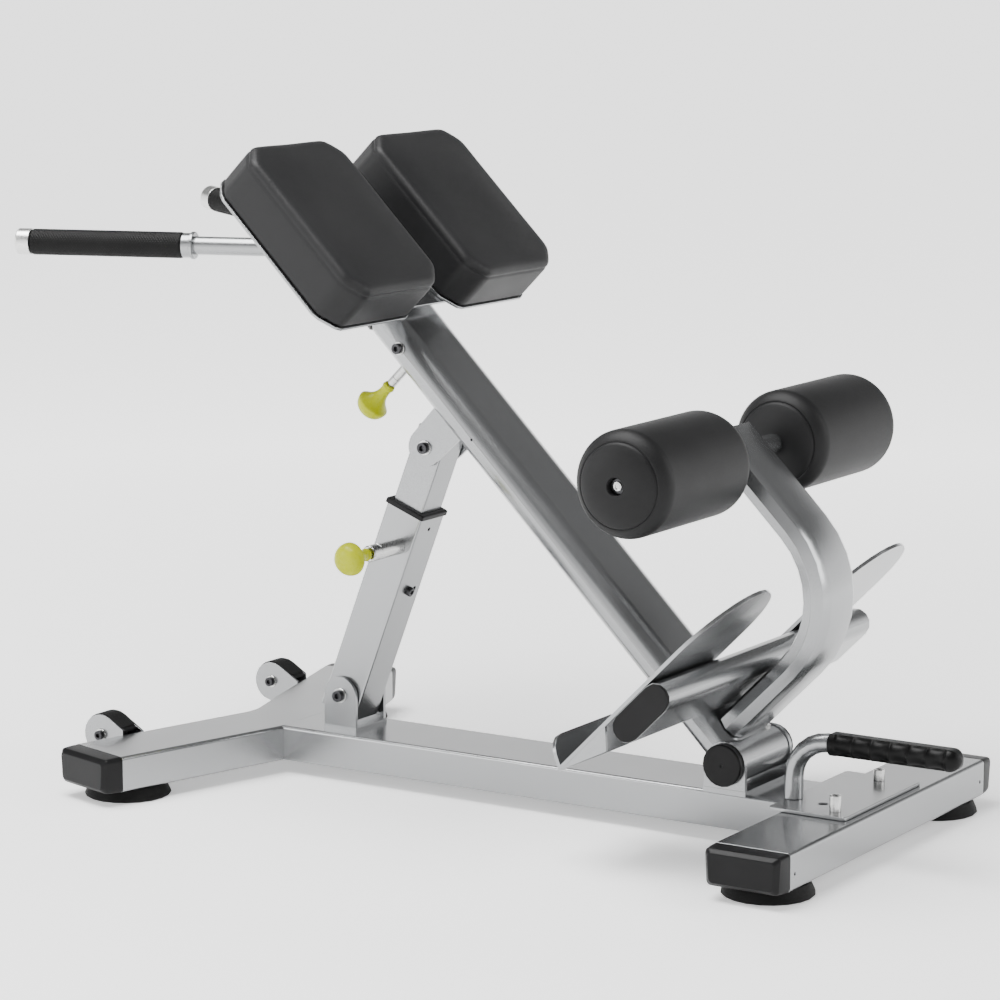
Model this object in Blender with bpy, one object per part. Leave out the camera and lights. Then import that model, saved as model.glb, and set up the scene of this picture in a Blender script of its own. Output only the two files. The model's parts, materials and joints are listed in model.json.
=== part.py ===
"""Adjustable 45 degree roman chair: steel frame, sliding hip pads, folding strut and foot rollers."""
import math

import bmesh
import bpy
from mathutils import Matrix, Vector

gap = 0.0003

# The frame: +X runs to the foot end, +Y to the user's left, +Z up, and the floor is z = 0.
rearFace = 0.5675          # rear face of the crossbeam
floorGap = 0.0185          # floor to the underside of the base tubes
tubeHeight = 0.050         # height of the three base tubes
wall = 0.003               # wall of the frame tubes
railWidth = 0.122
crossbeamDepth = 0.108
crossbeamHalf = 0.283
legWidth = 0.110
legAngle = math.radians(16.0)
legApex = rearFace - 0.9620
legEndY = 0.314
railFront = rearFace - 0.9255

# The main beam turns on the lower pivot and leans forward.
pivot = Vector((rearFace - 0.2113, 0.0, 0.1072))
beamAngle = math.radians(45.0)
beamWidth = 0.120
beamDepth = 0.050
beamLength = 0.778
slideWidth = 0.108
slideDepth = 0.038
slideStart = 0.560
slideEnd = 1.000
pivotRadius = 0.029
pivotHalf = 0.0597

# The strut between the rail and the beam.
forkPivot = Vector((rearFace - 0.841, 0.0, 0.118))
lugUp = 0.6105
lugDrop = -0.082
outerSide = 0.060
innerSide = 0.050
outerStart = -0.028
outerEnd = 0.2905
plateRadius = 0.0265
stopUp = 0.1762            # where the stop screw sits along the outer tube, and how far off its middle
stopAside = 0.014

# Pads, rollers, plates and handles.
padLength = 0.265
padInner = 0.039
padOuter = 0.255
padStart = 0.743
padBottom = 0.0451
padTop = 0.117
rollerRadius = 0.0694
rollerInner = 0.0855
rollerOuter = 0.3310
rollerDome = 0.031
axleUp = 0.2945
axleOut = 0.2755
axleRadius = 0.0095
armWidth = 0.100
armDepth = 0.040
armUp = 0.037
armBend = 0.130
armEnd = 0.325
footTubeHalf = 0.279
footTubeUp = 0.0805
footPlateBottom = 0.1008
footPlateThick = 0.005
handleRadius = 0.0127
handleSplay = math.radians(18.2)
handleHeight = 0.7515
wheelY = 0.204
wheelHalf = 0.018
wheelX = rearFace - 1.122
wheelZ = 0.063

steelGrey = (0.52, 0.53, 0.54)
black = (0.012, 0.012, 0.013)
lime = (0.55, 0.68, 0.02)
zinc = (0.62, 0.62, 0.60)

baseTop = floorGap + tubeHeight
beamUp = Vector((-math.cos(beamAngle), 0.0, math.sin(beamAngle)))
beamNormal = Vector((math.sin(beamAngle), 0.0, math.cos(beamAngle)))
across = Vector((0.0, 1.0, 0.0))


def beamPoint(up, out, y=0.0):
    return pivot + beamUp * up + beamNormal * out + across * y


lugPivot = beamPoint(lugUp, lugDrop)
strutUp = (lugPivot - forkPivot).normalized()
strutOut = Vector((strutUp.z, 0.0, -strutUp.x))
strutLength = (lugPivot - forkPivot).length


def strutPoint(up, out, y=0.0):
    return forkPivot + strutUp * up + strutOut * out + across * y


def clearObjects():
    for obj in list(bpy.data.objects):
        bpy.data.objects.remove(obj, do_unlink=True)


def makeMaterial(name, color, roughness, metallic):
    material = bpy.data.materials.new(name)
    material.use_nodes = True
    shader = material.node_tree.nodes["Principled BSDF"]
    shader.inputs["Base Color"].default_value = (*color, 1.0)
    shader.inputs["Roughness"].default_value = roughness
    shader.inputs["Metallic"].default_value = metallic
    return material


def makeEmpty(name, location):
    empty = bpy.data.objects.new(name, None)
    empty.location = location
    empty.empty_display_size = 0.05
    bpy.context.collection.objects.link(empty)
    return empty


def frameAt(origin, xAxis, yAxis):
    xAxis = Vector(xAxis).normalized()
    yAxis = Vector(yAxis).normalized()
    zAxis = xAxis.cross(yAxis)
    matrix = Matrix((xAxis, yAxis, zAxis)).transposed().to_4x4()
    matrix.translation = Vector(origin)
    return matrix


def axisFrame(origin, axis):
    axis = Vector(axis).normalized()
    side = Vector((0.0, 1.0, 0.0)) if abs(axis.y) < 0.9 else Vector((1.0, 0.0, 0.0))
    xAxis = side.cross(axis).normalized()
    return frameAt(origin, xAxis, axis.cross(xAxis))


def circle(radius, steps, phase=0.0):
    angles = [2 * math.pi * (i + phase) / steps for i in range(steps)]
    return [(radius * math.cos(angle), radius * math.sin(angle)) for angle in angles]


def roundedBox(width, height, radius, steps=3):
    points = []
    for turn, (cx, cy) in enumerate(((1, 1), (-1, 1), (-1, -1), (1, -1))):
        for i in range(steps + 1):
            angle = math.pi / 2 * (turn + i / steps)
            points.append((cx * (width / 2 - radius) + radius * math.cos(angle),
                           cy * (height / 2 - radius) + radius * math.sin(angle)))
    return points


def stadium(width, depth, steps=6):
    points = []
    radius = depth / 2
    for side in (1, -1):
        for i in range(steps + 1):
            angle = math.pi * (i / steps - 0.5) + (0.0 if side > 0 else math.pi)
            x = side * (width / 2 - radius) + radius * math.cos(angle)
            points.append((x, radius * math.sin(angle)))
    return points


def cutCorners(width, length, cut, soften=0.006):
    """A rectangle with its corners cut off at 45 degrees and each new corner softened."""
    x = width / 2
    y = length / 2
    corners = [(x, y - cut), (x - cut, y), (cut - x, y), (-x, y - cut),
               (-x, cut - y), (cut - x, -y), (x - cut, -y), (x, cut - y)]
    points = []
    for i, corner in enumerate(corners):
        here = Vector(corner)
        for other in (corners[i - 1], corners[(i + 1) % 8]):
            points.append(here + (Vector(other) - here).normalized() * soften)
    return [(point.x, point.y) for point in points]


def placed(loop, matrix, along=0.0):
    return [matrix @ Vector((x, y, along)) for x, y in loop]


def loftInto(mesh, loops, holes=None):
    """Skins a row of equal loops; with holes the body is a tube with open ends."""
    rows = [[mesh.verts.new(point) for point in loop] for loop in loops]
    count = len(rows[0])
    for low, high in zip(rows, rows[1:]):
        for i in range(count):
            j = (i + 1) % count
            mesh.faces.new((low[i], low[j], high[j], high[i]))
    if holes is None:
        mesh.faces.new(list(reversed(rows[0])))
        mesh.faces.new(rows[-1])
        return
    inner = [[mesh.verts.new(point) for point in loop] for loop in holes]
    for low, high in zip(inner, inner[1:]):
        for i in range(count):
            j = (i + 1) % count
            mesh.faces.new((low[j], low[i], high[i], high[j]))
    for i in range(count):
        j = (i + 1) % count
        mesh.faces.new((rows[0][j], rows[0][i], inner[0][i], inner[0][j]))
        mesh.faces.new((rows[-1][i], rows[-1][j], inner[-1][j], inner[-1][i]))


def prismInto(mesh, outline, matrix, length, hole=None):
    loops = [placed(outline, matrix), placed(outline, matrix, length)]
    holes = None
    if hole is not None:
        holes = [placed(hole, matrix), placed(hole, matrix, length)]
    loftInto(mesh, loops, holes)


def boxInto(mesh, low, high):
    outline = [(low[0], low[1]), (high[0], low[1]), (high[0], high[1]), (low[0], high[1])]
    prismInto(mesh, outline, Matrix.Translation((0.0, 0.0, low[2])), high[2] - low[2])


def turnInto(mesh, profile, matrix, steps, ring=False):
    """Turns (radius, distance) points about the matrix's z axis; a ring profile closes on itself."""
    columns = []
    for radius, distance in profile:
        if radius == 0.0:
            columns.append([mesh.verts.new(matrix @ Vector((0.0, 0.0, distance)))])
        else:
            rim = circle(radius, steps)
            columns.append([mesh.verts.new(matrix @ Vector((x, y, distance))) for x, y in rim])
    pairs = list(zip(columns, columns[1:]))
    if ring:
        pairs.append((columns[-1], columns[0]))
    for low, high in pairs:
        if len(low) == len(high) == 1:
            continue
        for i in range(steps):
            j = (i + 1) % steps
            corners = [low[i % len(low)], low[j % len(low)], high[j % len(high)], high[i % len(high)]]
            unique = [v for k, v in enumerate(corners) if v not in corners[:k]]
            mesh.faces.new(unique)


def finish(mesh, name, material, body=None, smooth=30.0):
    bmesh.ops.recalc_face_normals(mesh, faces=mesh.faces)
    origin = body.location.copy() if body else Vector((0.0, 0.0, 0.0))
    bmesh.ops.translate(mesh, verts=mesh.verts, vec=-origin)
    data = bpy.data.meshes.new(name)
    mesh.to_mesh(data)
    mesh.free()
    data.shade_smooth()
    data.set_sharp_from_angle(angle=math.radians(smooth))
    data.materials.append(material)
    obj = bpy.data.objects.new(name, data)
    obj.parent = body
    bpy.context.collection.objects.link(obj)
    return obj


def combine(obj, tool, operation):
    bpy.context.view_layer.update()
    modifier = obj.modifiers.new("combine", 'BOOLEAN')
    modifier.operation = operation
    modifier.solver = 'EXACT'
    modifier.object = tool
    bpy.context.view_layer.update()
    result = bpy.data.meshes.new_from_object(obj.evaluated_get(bpy.context.evaluated_depsgraph_get()))
    obj.modifiers.clear()
    obj.data = result
    bpy.data.objects.remove(tool, do_unlink=True)


def cutWith(obj, build):
    mesh = bmesh.new()
    build(mesh)
    combine(obj, finish(mesh, "cutter", obj.data.materials[0]), 'DIFFERENCE')


def joinWith(obj, build):
    mesh = bmesh.new()
    build(mesh)
    combine(obj, finish(mesh, "addition", obj.data.materials[0]), 'UNION')


def bore(obj, centre, axis, radius, length, steps=16):
    axis = Vector(axis).normalized()
    start = Vector(centre) - axis * length / 2
    cutWith(obj, lambda mesh: prismInto(mesh, circle(radius, steps, 0.3), axisFrame(start, axis), length))


def boltProfile(grip, shaft, head, rise, socket=0.35):
    """A through bolt: socket head, shaft over the grip length, and a round nut."""
    half = grip / 2
    return [(0.0, -half - rise * 0.55), (head * socket, -half - rise * 0.55), (head * socket, -half - rise),
            (head * 0.85, -half - rise), (head, -half - rise * 0.8), (head, -half), (shaft, -half),
            (shaft, half), (head, half), (head, half + rise * 0.8), (head * 0.85, half + rise),
            (0.0, half + rise)]


def fillet(points, radius, steps):
    """The centreline through the points with each inner corner rounded to the radius."""
    path = [Vector(points[0])]
    for before, corner, after in zip(points, points[1:], points[2:]):
        corner = Vector(corner)
        back = (Vector(before) - corner).normalized()
        ahead = (Vector(after) - corner).normalized()
        half = math.acos(max(-1.0, min(1.0, back.dot(ahead)))) / 2
        centre = corner + (back + ahead).normalized() * radius / math.sin(half)
        first = corner + back * radius / math.tan(half) - centre
        last = corner + ahead * radius / math.tan(half) - centre
        sweep = first.angle(last)
        for i in range(steps + 1):
            share = i / steps
            blend = first * math.sin((1 - share) * sweep) + last * math.sin(share * sweep)
            path.append(centre + blend / math.sin(sweep))
    path.append(Vector(points[-1]))
    return path


def pathFrames(path, side):
    """A frame at each point, with its x axis along the side vector."""
    frames = []
    for i, point in enumerate(path):
        ahead = path[min(i + 1, len(path) - 1)] - path[max(i - 1, 0)]
        if 0 < i < len(path) - 1:
            ahead = (path[i + 1] - point).normalized() + (point - path[i - 1]).normalized()
        ahead.normalize()
        xAxis = (Vector(side) - ahead * ahead.dot(Vector(side))).normalized()
        frames.append(frameAt(point, xAxis, ahead.cross(xAxis)))
    return frames


def sweepInto(mesh, outline, hole, frames):
    loops = [placed(outline, frame) for frame in frames]
    holes = [placed(hole, frame) for frame in frames] if hole else None
    loftInto(mesh, loops, holes)


sides = ((-1, "right"), (1, "left"))

clearObjects()
steel = makeMaterial("painted_steel", steelGrey, 0.35, 0.9)
plastic = makeMaterial("black_plastic", black, 0.45, 0.0)
rubber = makeMaterial("black_rubber", black, 0.8, 0.0)
leather = makeMaterial("black_upholstery", (0.025, 0.025, 0.027), 0.5, 0.0)
limePlastic = makeMaterial("lime_plastic", lime, 0.35, 0.0)
brightSteel = makeMaterial("bright_steel", zinc, 0.22, 1.0)
satin = makeMaterial("satin_aluminium", (0.7, 0.7, 0.69), 0.3, 1.0)

strutPinAt = strutPoint(0.2404, 0.008, -outerSide / 2)
beamPinAt = beamPoint(0.720, -beamDepth / 2)
beamBody = makeEmpty("beam_hinge_axis", pivot)
carriageBody = makeEmpty("carriage_slide_axis", beamPoint(slideEnd, 0.0))
strutBody = makeEmpty("strut_hinge_axis", forkPivot)
innerBody = makeEmpty("strut_slide_axis", lugPivot)
strutPinBody = makeEmpty("strut_pin_axis", strutPinAt)
beamPinBody = makeEmpty("beam_pin_axis", beamPinAt)
rollerBody = makeEmpty("roller_axis", beamPoint(axleUp, axleOut))
wheelBody = makeEmpty("wheel_axis", (wheelX, 0.0, wheelZ))


def buildBase():
    frontEnd = Vector((legApex - legEndY * math.tan(legAngle), -legEndY, floorGap + tubeHeight / 2))
    apex = Vector((legApex, 0.0, frontEnd.z))
    path = fillet([frontEnd, apex, Vector((frontEnd.x, legEndY, frontEnd.z))], 0.120, 5)
    mesh = bmesh.new()
    outline = roundedBox(tubeHeight, legWidth, 0.005)
    hole = roundedBox(tubeHeight - 2 * wall, legWidth - 2 * wall, 0.002)
    sweepInto(mesh, outline, hole, pathFrames(path, (0.0, 0.0, 1.0)))
    foot = finish(mesh, "base_front_foot", steel)
    half = railWidth / 2 + gap
    cutWith(foot, lambda m: boxInto(m, (railFront, -half, 0.0), (railFront + 0.2, half, 0.2)))

    mesh = bmesh.new()
    section = roundedBox(railWidth, tubeHeight, 0.005)
    hollow = roundedBox(railWidth - 2 * wall, tubeHeight - 2 * wall, 0.002)
    start = Vector((railFront + gap, 0.0, floorGap + tubeHeight / 2))
    length = rearFace - crossbeamDepth - gap - start.x
    prismInto(mesh, section, frameAt(start, (0, 1, 0), (0, 0, 1)), length, hollow)
    finish(mesh, "base_rail", steel)

    mesh = bmesh.new()
    section = roundedBox(crossbeamDepth, tubeHeight, 0.005)
    hollow = roundedBox(crossbeamDepth - 2 * wall, tubeHeight - 2 * wall, 0.002)
    start = Vector((rearFace - crossbeamDepth / 2, -crossbeamHalf, floorGap + tubeHeight / 2))
    prismInto(mesh, section, frameAt(start, (-1, 0, 0), (0, 0, 1)), 2 * crossbeamHalf, hollow)
    beam = finish(mesh, "base_crossbeam", steel)
    for side in (-1, 1):
        screwAt = (rearFace, side * (crossbeamHalf - 0.012), floorGap + 0.022)
        bore(beam, screwAt, (1, 0, 0), 0.0022, 0.012, 8)


def capInto(mesh, width, matrix):
    """A tapered end cap: the face is smaller than the tube, most of all at its lower edge."""
    loops = []
    levels = ((0.0, 0.0, 0.0), (0.014, 0.0004, 0.02), (0.024, 0.0012, 0.05), (0.030, 0.0065, 0.08))
    for along, inset, draft in levels:
        outline = roundedBox(width - 2 * inset, tubeHeight - 2 * inset, 0.0055)
        loop = []
        for x, y in outline:
            low = 0.5 - y / tubeHeight
            loop.append((x * (1 - draft * low), y))
        loops.append(placed(loop, matrix, along))
    loftInto(mesh, loops)


def buildEnds():
    height = floorGap + tubeHeight / 2
    for side, name in sides:
        heading = Vector((0.0, side, 0.0))
        end = Vector((rearFace - crossbeamDepth / 2, side * (crossbeamHalf + gap), height))
        mesh = bmesh.new()
        capInto(mesh, crossbeamDepth, frameAt(end, Vector((0, 0, 1)).cross(heading), (0, 0, 1)))
        finish(mesh, "rear_end_cap_" + name, plastic)
        heading = Vector((-math.sin(legAngle), side * math.cos(legAngle), 0.0))
        end = Vector((legApex - legEndY * math.tan(legAngle), side * legEndY, height)) + heading * gap
        mesh = bmesh.new()
        capInto(mesh, legWidth, frameAt(end, Vector((0, 0, 1)).cross(heading), (0, 0, 1)))
        finish(mesh, "front_end_cap_" + name, plastic)

    rear = Vector((rearFace - crossbeamDepth / 2, 0.239, 0.0))
    front = Vector((legApex - 0.268 * math.tan(legAngle), 0.268, 0.0))
    top = floorGap - gap
    profile = [(0.0, 0.0), (0.0575, 0.0), (0.060, 0.0022), (0.0585, 0.0065), (0.0535, top - 0.001),
               (0.0525, top), (0.0, top)]
    for spot, end in ((rear, "rear"), (front, "front")):
        for side, name in sides:
            mesh = bmesh.new()
            turnInto(mesh, profile, Matrix.Translation((spot.x, side * spot.y, 0.0)), 20)
            finish(mesh, end + "_foot_" + name, rubber)


def buildWheels():
    faceX = legApex - legWidth / 2 / math.cos(legAngle)
    droop = math.radians(31.0)
    radius = 0.029

    def bracketLoop(endX):
        points = []
        for i in range(13):
            angle = math.radians(90.0) - droop + math.radians(200.0) * i / 12
            points.append((wheelX + radius * math.cos(angle), wheelZ + radius * math.sin(angle)))
        endTop = points[0][1] - (endX - points[0][0]) * math.tan(droop)
        points.append((endX, floorGap + 0.004))
        points.append((endX, endTop))
        return points

    def guardLoop(endX):
        outer = []
        inner = []
        for i in range(9):
            angle = math.radians(165.0) - (math.radians(75.0) + droop) * i / 8
            outer.append((wheelX + 0.0285 * math.cos(angle), wheelZ + 0.0285 * math.sin(angle)))
            inner.append((wheelX + 0.0260 * math.cos(angle), wheelZ + 0.0260 * math.sin(angle)))
        outer.append((endX, outer[-1][1] - (endX - outer[-1][0]) * math.tan(droop)))
        inner.append((endX, inner[-1][1] - (endX - inner[-1][0]) * math.tan(droop)))
        return outer + list(reversed(inner))

    for side, name in sides:
        mesh = bmesh.new()
        inner = wheelY - wheelHalf + 0.002
        outer = wheelY + wheelHalf - 0.002
        endX = faceX - (outer + 0.002) * math.tan(legAngle) - gap
        matrix = frameAt((0.0, min(side * inner, side * outer), 0.0), (0, 0, 1), (1, 0, 0))
        prismInto(mesh, [(z, x) for x, z in guardLoop(endX)], matrix, outer - inner)
        bracket = finish(mesh, "wheel_bracket_" + name, steel)
        for low in (wheelY - wheelHalf, wheelY + wheelHalf - 0.004):
            high = low + 0.004
            endX = faceX - high * math.tan(legAngle) - gap
            matrix = frameAt((0.0, min(side * low, side * high), 0.0), (0, 0, 1), (1, 0, 0))
            outline = [(z, x) for x, z in bracketLoop(endX)]
            joinWith(bracket, lambda m, loop=outline, place=matrix: prismInto(m, loop, place, 0.004))
        bore(bracket, (wheelX, side * wheelY, wheelZ), (0, 1, 0), 0.0053, 0.08, 12)

        mesh = bmesh.new()
        half = wheelHalf - 0.005
        tyre = [(0.0055, -half), (0.0225, -half), (0.0245, 0.002 - half), (0.0245, half - 0.002),
                (0.0225, half), (0.0055, half)]
        turnInto(mesh, tyre, axisFrame((wheelX, side * wheelY, wheelZ), (0, 1, 0)), 20, True)
        finish(mesh, "wheel_" + name, rubber, wheelBody)

    for side, name in sides:
        mesh = bmesh.new()
        matrix = axisFrame((wheelX, side * wheelY, wheelZ), (0, 1, 0))
        turnInto(mesh, boltProfile(2 * wheelHalf + 0.0006, 0.0050, 0.0078, 0.0075), matrix, 12)
        finish(mesh, "wheel_bolt_" + name, brightSteel)


def buildLiftHandle():
    plateLow = baseTop + gap
    plateHigh = plateLow + 0.005
    mesh = bmesh.new()
    outline = roundedBox(0.111, 0.224, 0.006, 2)
    prismInto(mesh, outline, Matrix.Translation((rearFace - 0.0675, 0.0, plateLow)), 0.005)
    plate = finish(mesh, "joint_plate", steel)
    bore(plate, (rearFace - 0.0686, -0.0628, plateLow), (0, 0, 1), 0.0065, 0.02, 12)

    for x, y, rise, name in ((-0.038, -0.0885, 0.021, "right"), (-0.063, 0.0885, 0.0145, "left")):
        mesh = bmesh.new()
        profile = [(0.0, 0.0), (0.0078, 0.0), (0.0078, rise - 0.001), (0.0068, rise), (0.0036, rise),
                   (0.0036, rise - 0.005), (0.0, rise - 0.005)]
        turnInto(mesh, profile, Matrix.Translation((rearFace + x, y, plateHigh + gap)), 16)
        finish(mesh, "joint_screw_" + name, brightSteel)

    y = -0.055
    top = 0.153
    corner = Vector((rearFace - 0.115, y, top))
    tip = Vector((rearFace + 0.108, y, top))
    path = fillet([(corner.x, y, plateHigh + gap), corner, tip], 0.050, 6)
    mesh = bmesh.new()
    outer, inner = circle(handleRadius, 12), circle(handleRadius - 0.0025, 12)
    sweepInto(mesh, outer, inner, pathFrames(path, (0, 1, 0)))
    finish(mesh, "lift_handle", steel)

    mesh = bmesh.new()
    boreRadius = handleRadius + gap
    length = 0.184
    inside = tip.x - (rearFace - 0.062) + gap
    profile = [(boreRadius, 0.0), (0.0145, 0.0), (0.0156, 0.0015)]
    notches = 6
    for i in range(notches * 3 + 1):
        share = i / (notches * 3)
        profile.append((0.0156 - 0.0016 * math.sin(math.pi * share * notches) ** 2, 0.008 + share * 0.152))
    for i in range(6):
        angle = math.pi / 2 * i / 5
        reach = 0.0156 * math.cos(angle) if i < 5 else 0.0
        profile.append((reach, length - 0.0145 + 0.0145 * math.sin(angle)))
    profile += [(0.0, inside), (boreRadius, inside)]
    turnInto(mesh, profile, axisFrame((rearFace - 0.062, y, top), (1, 0, 0)), 12, True)
    finish(mesh, "lift_grip", rubber)


def roundPlateInto(mesh, centre, radius, reach, thick, y, down, halfWidth=None):
    """A round-topped plate about the centre, reaching along the down vector, thick across Y."""
    down = Vector(down).normalized()
    side = across.cross(down)
    halfWidth = halfWidth or radius
    angles = [math.pi * i / 12 for i in range(13)]
    outline = [(radius * math.cos(angle), -radius * math.sin(angle)) for angle in angles]
    outline += [(-halfWidth, reach), (halfWidth, reach)]
    matrix = frameAt(Vector((centre.x, y, centre.z)), side, down)
    offset = 0.0 if matrix.col[2][1] > 0 else thick
    matrix.translation.y += offset
    prismInto(mesh, outline, matrix, thick)


def buildStrut():
    rail = bpy.data.objects["base_rail"]
    floor = baseTop - 0.001
    low = (forkPivot.x - plateRadius - 0.001, -0.0388, floor)
    joinWith(rail, lambda m: boxInto(m, low, (forkPivot.x + plateRadius + 0.001, 0.0388, baseTop + 0.005)))
    reach = forkPivot.z - baseTop - 0.002
    for y in (-0.0378, 0.0323):
        joinWith(rail, lambda m, y=y: roundPlateInto(m, forkPivot, plateRadius, reach, 0.0055, y, (0, 0, -1)))
    bore(rail, forkPivot, (0, 1, 0), 0.0073, 0.12, 16)
    mesh = bmesh.new()
    turnInto(mesh, boltProfile(0.0762, 0.0070, 0.0095, 0.0085), axisFrame(forkPivot, (0, 1, 0)), 14)
    finish(mesh, "fork_bolt", brightSteel)

    mesh = bmesh.new()
    base = frameAt(strutPoint(outerStart, 0.0), (0, 1, 0), -strutOut)
    inside = outerSide - 2 * wall
    outline, hollow = roundedBox(outerSide, outerSide, 0.003, 2), roundedBox(inside, inside, 0.001, 2)
    prismInto(mesh, outline, base, outerEnd - outerStart, hollow)
    outer = finish(mesh, "strut_outer", steel, strutBody)
    bore(outer, forkPivot, (0, 1, 0), 0.0073, 0.12, 16)
    bore(outer, strutPinAt, (0, 1, 0), 0.0055, 0.02, 12)
    bore(outer, strutPoint(stopUp, outerSide / 2, stopAside), strutOut, 0.0043, 0.02, 12)
    bore(outer, strutPoint(outerEnd - 0.018, outerSide / 2), strutOut, 0.0028, 0.02, 10)

    mesh = bmesh.new()
    bush = innerSide + 2 * gap
    stations = ((outerEnd - 0.040, inside - 2 * gap), (outerEnd + gap, inside - 2 * gap),
                (outerEnd + gap, outerSide + 0.005), (outerEnd + 0.006, outerSide + 0.005),
                (outerEnd + 0.0075, outerSide + 0.002))
    frames = [frameAt(strutPoint(at, 0.0), (0, 1, 0), -strutOut) for at, side in stations]
    loops = [placed(roundedBox(side, side, 0.003, 2), frame) for frame, (at, side) in zip(frames, stations)]
    holes = [placed(roundedBox(bush, bush, 0.003, 2), frame) for frame in frames]
    loftInto(mesh, loops, holes)
    finish(mesh, "strut_collar", plastic, strutBody)

    mesh = bmesh.new()
    profile = [(0.0, -0.0035), (0.0040, -0.0035), (0.0040, gap), (0.0070, gap), (0.0070, 0.0050),
               (0.0060, 0.0062), (0.0028, 0.0062), (0.0028, 0.0035), (0.0, 0.0035)]
    turnInto(mesh, profile, axisFrame(strutPoint(stopUp, outerSide / 2, stopAside), strutOut), 14)
    finish(mesh, "strut_stop_screw", brightSteel, strutBody)

    mesh = bmesh.new()
    tube = innerSide - 2 * wall
    base = frameAt(strutPoint(0.140, 0.0), (0, 1, 0), -strutOut)
    outline, hollow = roundedBox(innerSide, innerSide, 0.003, 2), roundedBox(tube, tube, 0.001, 2)
    prismInto(mesh, outline, base, strutLength + 0.024 - 0.140, hollow)
    inner = finish(mesh, "strut_inner", steel, innerBody)
    bore(inner, lugPivot, (0, 1, 0), 0.0088, 0.12, 16)
    for step in range(4):
        bore(inner, strutPoint(0.2404 - 0.025 * step, 0.008, -innerSide / 2), (0, 1, 0), 0.0053, 0.02, 10)


def pinRing(inner, outer, length):
    return [(inner, 0.0), (outer, 0.0), (outer, length - 0.002), (outer - 0.0015, length), (inner, length)]


def pinProfile(rod, neck):
    """A locking pin: the rod from its tip to the neck, then the knob moulded on it."""
    knob = ((0.0080, 0.0), (0.0086, 0.006), (0.0078, 0.018), (0.0100, 0.028), (0.0160, 0.036), (0.0215, 0.040),
            (0.0230, 0.0435), (0.0222, 0.0480), (0.0180, 0.0530), (0.0100, 0.0570), (0.0, 0.0585))
    return [(0.0, -0.0025), (rod, -0.0025), (rod, neck)] + [(radius, neck + along) for radius, along in knob]


def buildPins():
    down = -across
    out = -beamNormal
    mesh = bmesh.new()
    turnInto(mesh, pinRing(0.0054, 0.0115, 0.072), axisFrame(strutPinAt + down * gap, down), 20, True)
    finish(mesh, "strut_pin_barrel", brightSteel, strutBody)
    mesh = bmesh.new()
    turnInto(mesh, pinProfile(0.0050, 0.075), axisFrame(strutPinAt, down), 16)
    finish(mesh, "strut_pin", limePlastic, strutPinBody)

    mesh = bmesh.new()
    turnInto(mesh, pinRing(0.0045, 0.0066, 0.056), axisFrame(beamPinAt + out * gap, out), 16, True)
    finish(mesh, "beam_pin_barrel", brightSteel, beamBody)
    mesh = bmesh.new()
    turnInto(mesh, pinProfile(0.0041, 0.058), axisFrame(beamPinAt, out), 16)
    finish(mesh, "beam_pin", limePlastic, beamPinBody)


def buildPivot():
    rail = bpy.data.objects["base_rail"]
    low = (pivot.x - 0.0315, -0.0665, baseTop - 0.001)
    joinWith(rail, lambda m: boxInto(m, low, (pivot.x + 0.0315, 0.0665, baseTop + 0.006)))
    reach = pivot.z - baseTop - 0.002
    for y in (-0.066, 0.060):
        joinWith(rail, lambda m, y=y: roundPlateInto(m, pivot, 0.0305, reach, 0.006, y, (0, 0, -1)))
    bore(rail, pivot, (0, 1, 0), 0.0103, 0.2, 20)
    face = 0.066 + gap
    cap = ((0.0285, 0.0), (0.0285, 0.0070), (0.0270, 0.0087), (0.0020, 0.0087), (0.0020, 0.0077))
    mesh = bmesh.new()
    profile = [(0.0, 0.070), (0.0100, 0.070), (0.0100, -face)]
    profile += [(radius, -face - along) for radius, along in cap] + [(0.0, -face - 0.0077)]
    turnInto(mesh, profile, axisFrame(pivot, (0, 1, 0)), 20)
    finish(mesh, "pivot_shaft", plastic)
    mesh = bmesh.new()
    profile = [(0.0103, 0.0)] + list(cap) + [(0.0, 0.0077), (0.0, 0.0042), (0.0103, 0.0042)]
    turnInto(mesh, profile, axisFrame(pivot + across * face, across), 20, True)
    finish(mesh, "pivot_cap", plastic)


def beamFrame(up, out=0.0, y=0.0):
    return frameAt(beamPoint(up, out, y), (0, -1, 0), beamNormal)


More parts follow.
